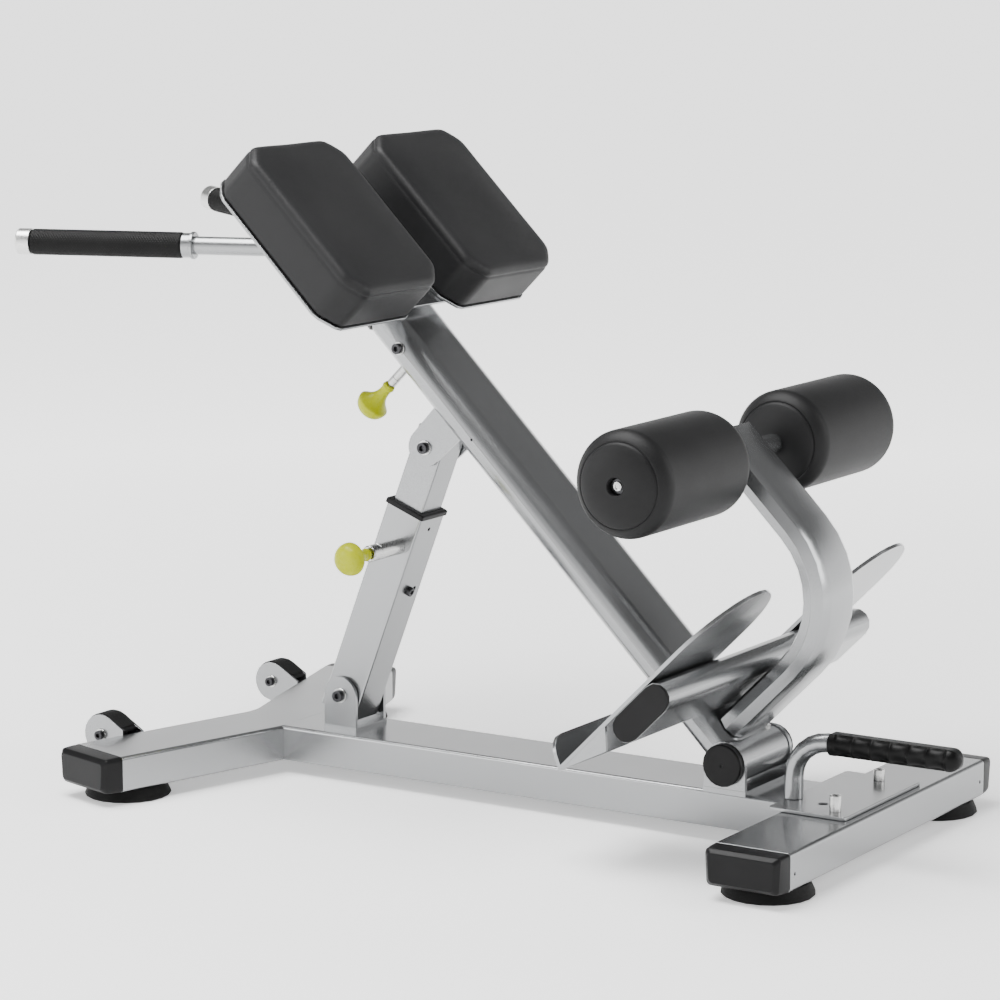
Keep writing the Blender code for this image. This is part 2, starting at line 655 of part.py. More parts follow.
def buildBeam():
    mesh = bmesh.new()
    outline = stadium(beamWidth, beamDepth)
    inside = stadium(beamWidth - 2 * wall, beamDepth - 2 * wall)
    prismInto(mesh, outline, beamFrame(-0.004), beamLength + 0.004, inside)
    beam = finish(mesh, "main_beam", steel, beamBody)
    start = axisFrame(pivot - across * pivotHalf, (0, 1, 0))
    joinWith(beam, lambda m: prismInto(m, circle(pivotRadius, 24), start, 2 * pivotHalf))
    bore(beam, pivot, (0, 1, 0), 0.0103, 0.3, 20)
    bore(beam, beamPinAt, beamNormal, 0.0045, 0.02, 10)
    bore(beam, beamPoint(0.5597, 0.0, -beamWidth / 2), (0, 1, 0), 0.0020, 0.02, 8)
    bore(beam, beamPoint(0.7243, 0.0, 0.0), (0, 1, 0), 0.0043, 0.3, 12)

    for side, name in sides:
        profile = [(0.0, -0.0032), (0.0040, -0.0032), (0.0040, 0.0008), (0.0080, 0.0008), (0.0080, 0.0070),
                   (0.0068, 0.0084), (0.0034, 0.0084), (0.0034, 0.0050), (0.0, 0.0050)]
        mesh = bmesh.new()
        turnInto(mesh, profile, axisFrame(beamPoint(0.7243, 0.0, side * beamWidth / 2), across * side), 12)
        finish(mesh, "guide_screw_" + name, brightSteel, beamBody)

    mesh = bmesh.new()
    stations = ((beamLength - 0.040, 0.1134, 0.0434), (beamLength + gap, 0.1134, 0.0434),
                (beamLength + gap, 0.1262, 0.0562), (beamLength + 0.008, 0.1262, 0.0562),
                (beamLength + 0.010, 0.1230, 0.0530))
    loops = [placed(stadium(w, d), beamFrame(at)) for at, w, d in stations]
    bush = stadium(slideWidth + 2 * gap, slideDepth + 2 * gap)
    holes = [placed(bush, beamFrame(at)) for at, w, d in stations]
    loftInto(mesh, loops, holes)
    finish(mesh, "beam_collar", plastic, beamBody)

    matrix = frameAt(beamPoint(lugUp, -beamDepth / 2 - 0.004), across, beamUp)
    joinWith(beam, lambda m: prismInto(m, roundedBox(0.066, 0.061, 0.002, 1), matrix, 0.005))
    reach = -lugDrop - beamDepth / 2 - 0.002
    for y in (-0.0318, 0.0263):
        joinWith(beam, lambda m, y=y: roundPlateInto(m, lugPivot, plateRadius, reach, 0.0055, y, beamNormal, 0.029))
    bore(beam, lugPivot, (0, 1, 0), 0.0088, 0.12, 16)
    mesh = bmesh.new()
    turnInto(mesh, boltProfile(0.0642, 0.0070, 0.0090, 0.0080), axisFrame(lugPivot, (0, 1, 0)), 14)
    finish(mesh, "lug_bolt", brightSteel, beamBody)


def footPlateInto(mesh, side):
    """One foot plate in its own plane: a straight toe end and a half-oval heel."""
    low = -0.073
    straight = 0.170
    tip = 0.268
    half = 0.088
    points = [(half, low), (half, straight)]
    for i in range(1, 16):
        angle = math.pi * i / 16
        points.append((half * math.cos(angle), straight + (tip - straight) * math.sin(angle)))
    points += [(-half, straight), (-half, low)]
    matrix = frameAt(beamPoint(footPlateBottom, 0.0, side * 0.192), (0, 1, 0), beamNormal)
    flip = 1 if matrix.col[2].to_3d().dot(beamUp) > 0 else -1
    matrix = frameAt(beamPoint(footPlateBottom, 0.0, side * 0.192), (0, flip, 0), beamNormal)
    prismInto(mesh, points, matrix, footPlateThick)


def buildFeetAndArm():
    mesh = bmesh.new()
    centreOut = beamDepth / 2 + gap + 0.050
    matrix = frameAt(beamPoint(footTubeUp, centreOut, -footTubeHalf), beamNormal, beamUp)
    flip = 1 if matrix.col[2][1] > 0 else -1
    matrix = frameAt(beamPoint(footTubeUp, centreOut, -footTubeHalf), beamNormal * flip, beamUp)
    prismInto(mesh, stadium(0.100, 0.040), matrix, 2 * footTubeHalf, stadium(0.094, 0.034))
    tube = finish(mesh, "foot_tube", steel, beamBody)
    for side in (-1, 1):
        spot = beamPoint(footTubeUp + 0.012, centreOut + 0.044, side * (footTubeHalf - 0.011))
        bore(tube, spot, beamNormal + beamUp * 0.9, 0.0020, 0.02, 8)

    for side, name in sides:
        mesh = bmesh.new()
        seat = beamPoint(footTubeUp, centreOut, side * (footTubeHalf - 0.012))
        matrix = frameAt(seat, beamNormal * side * flip, beamUp)
        stations = ((0.0, 0.0934, 0.0334), (0.012 + gap, 0.0934, 0.0334), (0.012 + gap, 0.0985, 0.0385),
                    (0.0140, 0.0985, 0.0385), (0.0150, 0.0965, 0.0365))
        loftInto(mesh, [placed(stadium(w, d), matrix, at) for at, w, d in stations])
        finish(mesh, "foot_tube_plug_" + name, plastic, beamBody)

    for side, name in sides:
        mesh = bmesh.new()
        footPlateInto(mesh, side)
        plate = finish(mesh, "foot_plate_" + name, steel, beamBody)
        lean = math.radians(23.0)
        rise = beamUp * math.cos(lean) + beamNormal * math.sin(lean)
        thickness = across.cross(rise)
        start = beamPoint(footPlateBottom + 0.001, -0.0725, side * 0.192)

        def stopInto(m, rise=rise, thickness=thickness, start=start):
            outline = [(-0.088, 0.0), (0.088, 0.0)]
            for turn, cx in ((0, 1), (1, -1)):
                for i in range(5):
                    angle = math.pi / 2 * (turn + i / 4)
                    x = cx * (0.088 - 0.026) + 0.026 * math.cos(angle)
                    outline.append((x, 0.044 - 0.026 + 0.026 * math.sin(angle)))
            matrix = frameAt(start, across, rise)
            outward = 1 if matrix.col[2].to_3d().dot(beamNormal) > 0 else -1
            prismInto(m, outline, matrix, footPlateThick * outward)

        joinWith(plate, stopInto)

        def gussetInto(m, side=side):
            corners = ((footPlateBottom + 0.001, -0.0725), (footPlateBottom + 0.001, 0.0229), (0.0769, 0.0005))
            outline = []
            for up, out in corners:
                outline.append((out, up))
            matrix = frameAt(pivot + across * side * 0.2745, beamNormal, beamUp)
            prismInto(m, outline, matrix, 0.005)

        joinWith(plate, gussetInto)

    mesh = bmesh.new()
    foot = beamPoint(armUp, beamDepth / 2 + 2 * gap)
    corner = beamPoint(armUp, axleOut)
    top = beamPoint(armEnd, axleOut)
    path = fillet([foot, corner, top], armBend, 8)
    section = stadium(armWidth, armDepth, 4)
    hollow = stadium(armWidth - 2 * wall, armDepth - 2 * wall, 4)
    sweepInto(mesh, section, hollow, pathFrames(path, (0, 1, 0)))
    arm = finish(mesh, "roller_arm", steel, beamBody)
    axle = beamPoint(axleUp, axleOut)
    sleeve = axisFrame(axle - across * (rollerInner - 0.001), (0, 1, 0))
    joinWith(arm, lambda m: prismInto(m, circle(0.0138, 20), sleeve, 2 * (rollerInner - 0.001)))
    bore(arm, axle, (0, 1, 0), axleRadius + gap, 0.3, 20)


def buildRollers():
    axle = beamPoint(axleUp, axleOut)
    seat = rollerOuter - 0.0145
    mesh = bmesh.new()
    profile = [(0.0, -seat - 0.0060), (0.0094, -seat - 0.0060), (0.0106, -seat - 0.0050), (0.0106, -seat - gap),
               (axleRadius, -seat - gap), (axleRadius, seat), (0.0060, seat), (0.0060, seat + 0.0050),
               (0.0, seat + 0.0050)]
    turnInto(mesh, profile, axisFrame(axle, (0, 1, 0)), 18)
    finish(mesh, "roller_axle", brightSteel, beamBody)
    mesh = bmesh.new()
    ring = [(0.0063, seat + gap), (0.0106, seat + gap), (0.0106, seat + 0.0048), (0.0094, seat + 0.0060),
            (0.0063, seat + 0.0060)]
    turnInto(mesh, ring, axisFrame(axle, (0, 1, 0)), 18, True)
    finish(mesh, "axle_nut", brightSteel, beamBody)
    length = rollerOuter - rollerInner
    hub = axleRadius + gap
    dome = []
    for i in range(7):
        angle = math.pi / 2 * i / 6
        reach = 0.0115 + (rollerRadius - 0.0115) * math.sin(angle) ** 0.9
        dome.append((reach, rollerDome * (1 - math.cos(angle) ** 0.9)))
    for side, name in sides:
        profile = [(hub, 0.0)] + dome
        profile += [(radius, length - along) for radius, along in reversed(dome)]
        profile += [(0.0115, length - 0.0145), (hub, length - 0.0145)]
        mesh = bmesh.new()
        turnInto(mesh, profile, axisFrame(axle + across * side * rollerInner, across * side), 26, True)
        finish(mesh, "roller_" + name, rubber, rollerBody)


def buildCarriage():
    mesh = bmesh.new()
    outline = stadium(slideWidth, slideDepth)
    hole = stadium(slideWidth - 2 * wall, slideDepth - 2 * wall)
    prismInto(mesh, outline, beamFrame(slideStart), slideEnd - slideStart, hole)
    tube = finish(mesh, "slide_tube", steel, carriageBody)
    for step in range(4):
        bore(tube, beamPoint(0.720 + 0.025 * (step - 1), -slideDepth / 2), beamNormal, 0.0045, 0.012, 10)

    def padFrame(up, out, y):
        matrix = frameAt(beamPoint(up, out, y), (0, 1, 0), -beamUp)
        if matrix.col[2].to_3d().dot(beamNormal) < 0:
            matrix = frameAt(beamPoint(up, out, y), (0, -1, 0), -beamUp)
        return matrix

    centreUp = padStart + padLength / 2
    boardLow = padBottom - gap - 0.004
    plateLow = boardLow - gap - 0.0045
    mesh = bmesh.new()
    prismInto(mesh, roundedBox(0.300, 0.230, 0.010), padFrame(centreUp, plateLow, 0.0), 0.0045)
    plate = finish(mesh, "carriage_plate", steel, carriageBody)
    riserLow = slideDepth / 2 + gap
    riser = roundedBox(0.070, 0.080, 0.002, 1)
    matrix = padFrame(0.945, riserLow, 0.0)
    joinWith(plate, lambda m: prismInto(m, riser, matrix, plateLow - riserLow + 0.002))

    width = padOuter - padInner + 0.003
    for side, name in sides:
        middle = side * (padInner + padOuter) / 2
        mesh = bmesh.new()
        outline = cutCorners(width, padLength + 0.003, 0.028)
        prismInto(mesh, outline, padFrame(centreUp, boardLow, middle), 0.004)
        finish(mesh, "pad_board_" + name, steel, carriageBody)

    thick = padTop - padBottom
    for side, name in sides:
        middle = side * (padInner + padOuter) / 2
        matrix = padFrame(centreUp, padBottom, middle)
        wide = padOuter - padInner
        loops = []
        levels = ((0.0, 0.003), (0.005, 0.0), (thick - 0.011, 0.0), (thick - 0.004, 0.003), (thick, 0.011))
        for height, inset in levels:
            outline = cutCorners(wide - 2 * inset, padLength - 2 * inset, 0.028 - inset * 0.6)
            loops.append(placed(outline, matrix, height))
        mesh = bmesh.new()
        loftInto(mesh, loops)
        finish(mesh, "hip_pad_" + name, leather, carriageBody, 40.0)


def buildHandles():
    crossX = rearFace - 0.8580
    for side, name in sides:
        turn = math.pi / 2 - handleSplay
        bend = 0.050
        start = Vector((crossX, side * (slideWidth / 2 + 2 * gap), handleHeight))
        path = [start]
        for i in range(6):
            angle = turn * i / 5
            aside = side * (0.0004 + bend * math.sin(angle))
            path.append(start + Vector((-bend * (1 - math.cos(angle)), aside, 0.0)))
        rise = 0.080 if side > 0 else 0.0
        outward = Vector((-math.cos(handleSplay), side * math.sin(handleSplay), rise)).normalized()
        tip = path[-1] + outward * 0.376
        path.append(tip)
        mesh = bmesh.new()
        outer, inner = circle(handleRadius, 12), circle(handleRadius - 0.0025, 12)
        sweepInto(mesh, outer, inner, pathFrames(path, (0, 0, 1)))
        handle = finish(mesh, "handle_" + name, steel, carriageBody)
        bite = handleRadius - 0.001
        collar = [(bite, 0.0), (0.0172, 0.0), (0.0172, 0.0110), (0.0192, 0.0120), (0.0192, 0.0155),
                  (0.0182, 0.0165), (bite, 0.0165)]
        spot = axisFrame(tip - outward * 0.2403, -outward)
        joinWith(handle, lambda m, c=collar, f=spot: turnInto(m, c, f, 18, True))

        boreRadius = handleRadius + gap
        mesh = bmesh.new()
        grip = [(boreRadius, 0.0), (0.0178, 0.0), (0.0184, 0.0010), (0.0184, 0.2210), (0.0178, 0.2220),
                (boreRadius, 0.2220)]
        turnInto(mesh, grip, axisFrame(tip - outward * 0.0180, -outward), 18, True)
        finish(mesh, "grip_" + name, rubber, carriageBody)

        cap = [(0.0, -0.0024), (0.0165, -0.0024), (0.0184, -0.0008), (0.0184, 0.0177), (boreRadius, 0.0177),
               (boreRadius, -0.0003), (0.0, -0.0003)]
        mesh = bmesh.new()
        turnInto(mesh, cap, axisFrame(tip, -outward), 18, True)
        finish(mesh, "grip_end_" + name, satin, carriageBody)


buildBase()
buildEnds()
buildWheels()
buildLiftHandle()
buildStrut()
buildPins()
buildPivot()
buildBeam()
buildFeetAndArm()
buildRollers()
buildCarriage()
buildHandles()
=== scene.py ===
# A 45 degree back extension bench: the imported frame, dressed and lit for a studio picture.
import json
import math

import bmesh
import bpy
import numpy
from mathutils import Matrix, Vector

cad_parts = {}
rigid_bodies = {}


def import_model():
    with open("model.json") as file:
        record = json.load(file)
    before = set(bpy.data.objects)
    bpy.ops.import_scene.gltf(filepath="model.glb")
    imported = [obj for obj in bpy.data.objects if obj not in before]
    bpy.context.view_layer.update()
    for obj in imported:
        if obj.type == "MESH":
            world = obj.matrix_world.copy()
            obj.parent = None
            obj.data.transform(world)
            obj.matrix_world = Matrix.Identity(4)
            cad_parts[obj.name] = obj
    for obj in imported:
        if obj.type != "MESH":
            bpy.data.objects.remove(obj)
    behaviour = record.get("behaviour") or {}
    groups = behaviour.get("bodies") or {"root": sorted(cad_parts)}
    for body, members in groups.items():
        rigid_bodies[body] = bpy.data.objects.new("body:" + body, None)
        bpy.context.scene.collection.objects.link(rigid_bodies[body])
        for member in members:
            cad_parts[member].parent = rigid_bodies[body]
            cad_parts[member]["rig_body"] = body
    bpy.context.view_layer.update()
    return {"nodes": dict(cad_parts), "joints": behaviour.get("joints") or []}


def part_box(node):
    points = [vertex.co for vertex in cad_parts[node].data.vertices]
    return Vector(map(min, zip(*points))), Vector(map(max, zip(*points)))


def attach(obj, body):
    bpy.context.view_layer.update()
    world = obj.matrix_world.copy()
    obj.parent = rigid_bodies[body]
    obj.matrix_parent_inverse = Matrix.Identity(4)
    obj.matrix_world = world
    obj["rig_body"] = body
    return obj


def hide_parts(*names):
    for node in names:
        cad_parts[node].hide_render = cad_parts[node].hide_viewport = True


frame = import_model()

joints = {joint["name"]: joint for joint in frame["joints"]}
across = Vector((0.0, 1.0, 0.0))
upright = Vector((0.0, 0.0, 1.0))
pivot = Vector(joints["beam_fold"]["pos_m"])
beamUp = Vector(joints["carriage_slide"]["axis"])
beamNormal = -Vector(joints["beam_pin_pull"]["axis"])
forkPivot = Vector(joints["strut_turn"]["pos_m"])
strutUp = Vector(joints["strut_extend"]["axis"])
strutOut = Vector((strutUp.z, 0.0, -strutUp.x))
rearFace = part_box("base_crossbeam")[1][0]
sides = ((-1, "right"), (1, "left"))


def say(stage):
    print("stage:", stage)


def beamPoint(up, out, y=0.0):
    return pivot + beamUp * up + beamNormal * out + across * y


def strutPoint(up, out, y=0.0):
    return forkPivot + strutUp * up + strutOut * out + across * y


def centreOf(node):
    low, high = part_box(node)
    return (Vector(low) + Vector(high)) / 2


def startMaterial(name, color, roughness, metallic=0.0, coat=0.0, specular=0.5):
    material = bpy.data.materials.new(name)
    material.use_nodes = True
    nodes = material.node_tree.nodes
    shader = nodes["Principled BSDF"]
    shader.inputs["Base Color"].default_value = (*color, 1.0)
    shader.inputs["Roughness"].default_value = roughness
    shader.inputs["Metallic"].default_value = metallic
    shader.inputs["Specular IOR Level"].default_value = specular
    shader.inputs["Coat Weight"].default_value = coat
    shader.inputs["Coat Roughness"].default_value = 0.08
    return material, shader


def addNode(material, kind, **values):
    node = material.node_tree.nodes.new(kind)
    for name, value in values.items():
        setattr(node, name, value)
    return node


def link(material, source, target):
    material.node_tree.links.new(source, target)


def noiseAt(material, scale, detail=2.0):
    coords = addNode(material, "ShaderNodeTexCoord")
    texture = addNode(material, "ShaderNodeTexNoise")
    texture.inputs["Scale"].default_value = scale
    texture.inputs["Detail"].default_value = detail
    link(material, coords.outputs["Object"], texture.inputs["Vector"])
    return texture


def rangeOf(material, source, low, high, fromLow=0.3, fromHigh=0.7):
    node = addNode(material, "ShaderNodeMapRange")
    node.inputs["From Min"].default_value = fromLow
    node.inputs["From Max"].default_value = fromHigh
    node.inputs["To Min"].default_value = low
    node.inputs["To Max"].default_value = high
    link(material, source, node.inputs["Value"])
    return node.outputs["Result"]


def addBump(material, shader, height, strength, distance):
    bump = addNode(material, "ShaderNodeBump")
    bump.inputs["Strength"].default_value = strength
    bump.inputs["Distance"].default_value = distance
    link(material, height, bump.inputs["Height"])
    link(material, bump.outputs["Normal"], shader.inputs["Normal"])


def tintBy(material, shader, source, dark, light, fromLow=0.3, fromHigh=0.7):
    ramp = addNode(material, "ShaderNodeValToRGB")
    ramp.color_ramp.elements[0].position = fromLow
    ramp.color_ramp.elements[0].color = (*dark, 1.0)
    ramp.color_ramp.elements[1].position = fromHigh
    ramp.color_ramp.elements[1].color = (*light, 1.0)
    link(material, source, ramp.inputs["Fac"])
    link(material, ramp.outputs["Color"], shader.inputs["Base Color"])


def makePaint():
    # silver paint: fine metal flake under a clear coat, with slight orange peel
    look = {"flake": 900.0, "grain": 0.008, "rough": (0.25, 0.27),
            "dark": (0.265, 0.27, 0.275), "light": (0.315, 0.32, 0.325)}
    material, shader = startMaterial("silver_paint", look["light"], 0.27, 0.95, 0.25)
    flake = noiseAt(material, look["flake"], 1.0)
    tintBy(material, shader, flake.outputs["Fac"], look["dark"], look["light"])
    broad = noiseAt(material, 14.0, 3.0)
    link(material, rangeOf(material, broad.outputs["Fac"], *look["rough"]), shader.inputs["Roughness"])
    addBump(material, shader, flake.outputs["Fac"], look["grain"], 0.0002)
    return material


def makeGrained(name, color, rough, grain, depth, spread=0.25, specular=0.5):
    # moulded surfaces: a grain in the bump, and slight changes of colour and roughness
    material, shader = startMaterial(name, color, sum(rough) / 2, specular=specular)
    fine = noiseAt(material, grain, 3.0)
    broad = noiseAt(material, 18.0, 4.0)
    dark = tuple(part * (1 - spread) for part in color)
    light = tuple(part * (1 + spread) for part in color)
    tintBy(material, shader, broad.outputs["Fac"], dark, light)
    link(material, rangeOf(material, fine.outputs["Fac"], *rough), shader.inputs["Roughness"])
    addBump(material, shader, fine.outputs["Fac"], depth, 0.0005)
    return material


def makeLeather():
    # vinyl upholstery: cells of grain with creases between them
    material, shader = startMaterial("charcoal_vinyl", (0.011, 0.011, 0.0115), 0.46, specular=0.2)
    coords = addNode(material, "ShaderNodeTexCoord")
    cells = addNode(material, "ShaderNodeTexVoronoi", feature="DISTANCE_TO_EDGE")
    cells.inputs["Scale"].default_value = 620.0
    link(material, coords.outputs["Object"], cells.inputs["Vector"])
    broad = noiseAt(material, 9.0, 5.0)
    tintBy(material, shader, broad.outputs["Fac"], (0.0095, 0.0095, 0.0100), (0.0125, 0.0125, 0.0130))
    link(material, rangeOf(material, broad.outputs["Fac"], 0.40, 0.52), shader.inputs["Roughness"])
    height = rangeOf(material, cells.outputs["Distance"], 0.0, 1.0, 0.0, 0.12)
    addBump(material, shader, height, 0.18, 0.0004)
    return material


def makeMetal(name, color, rough):
    # bare metal with fine turning marks
    material, shader = startMaterial(name, color, sum(rough) / 2, 1.0)
    marks = noiseAt(material, 900.0, 2.0)
    link(material, rangeOf(material, marks.outputs["Fac"], *rough), shader.inputs["Roughness"])
    dark = tuple(part * 0.82 for part in color)
    tintBy(material, shader, marks.outputs["Fac"], dark, color)
    addBump(material, shader, marks.outputs["Fac"], 0.05, 0.0003)
    return material


paint = makePaint()
blackPlastic = makeGrained("black_satin_plastic", (0.0045, 0.0045, 0.0048), (0.32, 0.44), 900.0, 0.10,
                           specular=0.16)
rubber = makeGrained("black_rubber", (0.0045, 0.0045, 0.0045), (0.55, 0.75), 500.0, 0.20, specular=0.16)
foam = makeGrained("black_foam", (0.0055, 0.0055, 0.0058), (0.44, 0.56), 1500.0, 0.14, specular=0.18)
gripRubber = makeGrained("grip_rubber", (0.0025, 0.0025, 0.0025), (0.34, 0.46), 1200.0, 0.08, specular=0.14)
limePlastic = makeGrained("lime_plastic", (0.36, 0.39, 0.0), (0.24, 0.34), 260.0, 0.05,
                          spread=0.10, specular=0.2)
leather = makeLeather()
zinc = makeMetal("zinc_steel", (0.58, 0.58, 0.57), (0.18, 0.32))
darkSteel = makeMetal("dark_steel", (0.055, 0.055, 0.058), (0.25, 0.40))
aluminium = makeMetal("satin_aluminium", (0.74, 0.74, 0.73), (0.22, 0.34))


def frameAt(origin, xAxis, yAxis):
    xAxis = Vector(xAxis).normalized()
    yAxis = Vector(yAxis).normalized()
    matrix = Matrix((xAxis, yAxis, xAxis.cross(yAxis))).transposed().to_4x4()
    matrix.translation = Vector(origin)
    return matrix


def axisFrame(origin, axis):
    axis = Vector(axis).normalized()
    side = across if abs(axis.y) < 0.9 else Vector((1.0, 0.0, 0.0))
    xAxis = side.cross(axis).normalized()
    return frameAt(origin, xAxis, axis.cross(xAxis))


def ringOf(radius, steps, phase=0.0):
    angles = [2 * math.pi * (i + phase) / steps for i in range(steps)]
    return [(radius * math.cos(angle), radius * math.sin(angle)) for angle in angles]


def loftInto(mesh, rows):
    # joins rows of points into one closed skin
    rows = [[mesh.verts.new(point) for point in row] for row in rows]
    count = len(rows[0])
    for low, high in zip(rows, rows[1:]):
        for i in range(count):
            j = (i + 1) % count
            mesh.faces.new((low[i], low[j], high[j], high[i]))
    mesh.faces.new(list(reversed(rows[0])))
    mesh.faces.new(rows[-1])


def turnInto(mesh, profile, matrix, steps, ring=False):
    # turns (radius, distance) points about the matrix's z axis
    columns = []
    for radius, distance in profile:
        if radius == 0.0:
            columns.append([mesh.verts.new(matrix @ Vector((0.0, 0.0, distance)))])
        else:
            circle = ringOf(radius, steps)
            columns.append([mesh.verts.new(matrix @ Vector((x, y, distance))) for x, y in circle])
    pairs = list(zip(columns, columns[1:]))
    if ring:
        pairs.append((columns[-1], columns[0]))
    for low, high in pairs:
        if len(low) == len(high) == 1:
            continue
        for i in range(steps):
            j = (i + 1) % steps
            corners = [low[i % len(low)], low[j % len(low)], high[j % len(high)], high[i % len(high)]]
            mesh.faces.new([v for k, v in enumerate(corners) if v not in corners[:k]])


def addPiece(mesh, name, material, body, nodes, sharp):
    bmesh.ops.recalc_face_normals(mesh, faces=mesh.faces)
    data = bpy.data.meshes.new(name)
    mesh.to_mesh(data)
    mesh.free()
    data.shade_smooth()
    data.set_sharp_from_angle(angle=math.radians(sharp))
    data.materials.append(material)
    piece = bpy.data.objects.new(name, data)
    bpy.context.scene.collection.objects.link(piece)
    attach(piece, body)
    if nodes:
        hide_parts(*nodes)
    return piece


def rounded(mesh, width, segments=3, angle=32.0):
    # rounds the edges sharper than the angle and evens the normals of the flats beside them
    data = bpy.data.meshes.new("rounding")
    bmesh.ops.recalc_face_normals(mesh, faces=mesh.faces)
    mesh.to_mesh(data)
    data.shade_smooth()
    data.set_sharp_from_angle(angle=math.radians(angle))
    carrier = bpy.data.objects.new("rounding", data)
    bpy.context.scene.collection.objects.link(carrier)
    bevel = carrier.modifiers.new("round", "BEVEL")
    bevel.width = width
    bevel.segments = segments
    bevel.limit_method = "ANGLE"
    bevel.angle_limit = math.radians(angle)
    bevel.use_clamp_overlap = True
    bevel.miter_outer = "MITER_ARC"
    normals = carrier.modifiers.new("even", "WEIGHTED_NORMAL")
    normals.keep_sharp = False
    normals.weight = 60
    bpy.context.view_layer.update()
    evaluated = carrier.evaluated_get(bpy.context.evaluated_depsgraph_get())
    result = bpy.data.meshes.new_from_object(evaluated)
    bpy.data.objects.remove(carrier)
    return result


def refine(node, material, bevel=0.0009, angle=32.0, second=None):
    # a copy of a CAD node with its triangles joined and its edges rounded;
    # second is another material and a test that picks the faces it goes on
    mesh = bmesh.new()
    mesh.from_mesh(frame["nodes"][node].data)
    bmesh.ops.remove_doubles(mesh, verts=mesh.verts, dist=0.00008)
    bmesh.ops.dissolve_degenerate(mesh, dist=0.00006, edges=mesh.edges)
    bmesh.ops.dissolve_limit(mesh, angle_limit=math.radians(1.5), verts=mesh.verts, edges=mesh.edges)
    data = rounded(mesh, bevel, 3, angle)
    mesh.free()
    data.name = node + "_finish"
    data.materials.clear()
    data.materials.append(material)
    if second:
        data.materials.append(second[0])
        for face in data.polygons:
            if second[1](face):
                face.material_index = 1
    piece = bpy.data.objects.new(data.name, data)
    bpy.context.scene.collection.objects.link(piece)
    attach(piece, frame["nodes"][node]["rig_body"])
    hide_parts(node)
    return piece


say("painted steel")
painted = ("base_front_foot", "base_rail", "base_crossbeam", "joint_plate", "lift_handle",
           "strut_outer", "strut_inner", "main_beam", "foot_tube", "foot_plate_right", "foot_plate_left",
           "roller_arm", "slide_tube", "carriage_plate", "pad_board_right", "pad_board_left",
           "handle_right", "handle_left")
for node in painted:
    refine(node, paint)


def isPaintedShadeWeb(face):
    # the strip between the two plates of a wheel bracket; its faces get black plastic as painted shade,
    # standing in for the shade between the plates
    return 0.1905 < abs(face.center.y) < 0.2175


# painted shade: each bracket's web between its plates is made black to stand in for the shade there
for side, name in sides:
    refine("wheel_bracket_" + name, paint, 0.0006, 32.0, (blackPlastic, isPaintedShadeWeb))

say("plastic parts")
for node in ("front_end_cap_right", "front_end_cap_left", "rear_end_cap_right", "rear_end_cap_left"):
    refine(node, blackPlastic, 0.0012, 12.0)
for node in ("strut_collar", "beam_collar", "foot_tube_plug_right", "foot_tube_plug_left", "pivot_shaft",
             "pivot_cap"):
    refine(node, blackPlastic, 0.0006)
for node in ("rear_foot_right", "rear_foot_left", "front_foot_right", "front_foot_left", "wheel_right",
             "wheel_left"):
    refine(node, rubber, 0.0008)
refine("roller_axle", darkSteel, 0.0005)
for node in ("grip_end_right", "grip_end_left"):
    refine(node, aluminium, 0.0008)

say("hip pads")


def cutCorners(width, length, cut, soften):
    # a rectangle with its corners cut off at 45 degrees, each new corner softened by a short arc
    x, y = width / 2, length / 2
    corners = [(x, y - cut), (x - cut, y), (cut - x, y), (-x, y - cut),
               (-x, cut - y), (cut - x, -y), (x - cut, -y), (x, cut - y)]
    points = []
    for i, corner in enumerate(corners):
        here = Vector(corner)
        first = here + (Vector(corners[i - 1]) - here).normalized() * soften
        last = here + (Vector(corners[(i + 1) % 8]) - here).normalized() * soften
        for share in (0.0, 0.33, 0.67, 1.0):
            points.append(first * (1 - share) ** 2 + here * 2 * share * (1 - share) + last * share ** 2)
    return [(point.x, point.y) for point in points]


def placed(outline, matrix, along=0.0):
    return [matrix @ Vector((x, y, along)) for x, y in outline]


def applyModifiers(piece):
    bpy.context.view_layer.update()
    data = bpy.data.meshes.new_from_object(piece.evaluated_get(bpy.context.evaluated_depsgraph_get()))
    piece.modifiers.clear()
    piece.data = data


def inflate(piece, pinned, pressure, cap, share):
    # lets the cover swell like stuffed vinyl: pressure in the cloth, with the pinned points held;
    # the moves are evened out and only a share of each is kept, because the foam inside is firm
    before = [vertex.co.copy() for vertex in piece.data.vertices]
    group = piece.vertex_groups.new(name="held")
    group.add([i for i, co in enumerate(before) if pinned(co)], 1.0, "REPLACE")
    cloth = piece.modifiers.new("cloth", "CLOTH")
    settings = cloth.settings
    settings.quality = 4
    settings.mass = 0.4
    settings.tension_stiffness = 60.0
    settings.compression_stiffness = 60.0
    settings.shear_stiffness = 30.0
    settings.bending_stiffness = 4.0
    settings.use_pressure = True
    settings.uniform_pressure_force = pressure
    settings.vertex_group_mass = "held"
    settings.effector_weights.gravity = 0.0
    cloth.collision_settings.use_collision = False
    cloth.collision_settings.use_self_collision = False
    scene = bpy.context.scene
    for step in range(1, 21):
        scene.frame_set(step)
    after = piece.evaluated_get(bpy.context.evaluated_depsgraph_get()).to_mesh()
    moved = [vertex.co.copy() for vertex in after.vertices]
    piece.modifiers.clear()
    scene.frame_set(1)
    shifts = numpy.array([end - start for start, end in zip(before, moved)])
    edges = numpy.array([edge.vertices[:] for edge in piece.data.edges])
    for _ in range(40):
        total = shifts.copy()
        count = numpy.ones(len(shifts))
        for one, other in ((0, 1), (1, 0)):
            numpy.add.at(total, edges[:, one], shifts[edges[:, other]])
            numpy.add.at(count, edges[:, one], 1.0)
        shifts = total / count[:, None]
    for vertex, start, shift in zip(piece.data.vertices, before, shifts):
        shift = Vector(shift) * share
        if shift.length > cap:
            shift = shift.normalized() * cap
        vertex.co = start + shift
    piece.vertex_groups.clear()


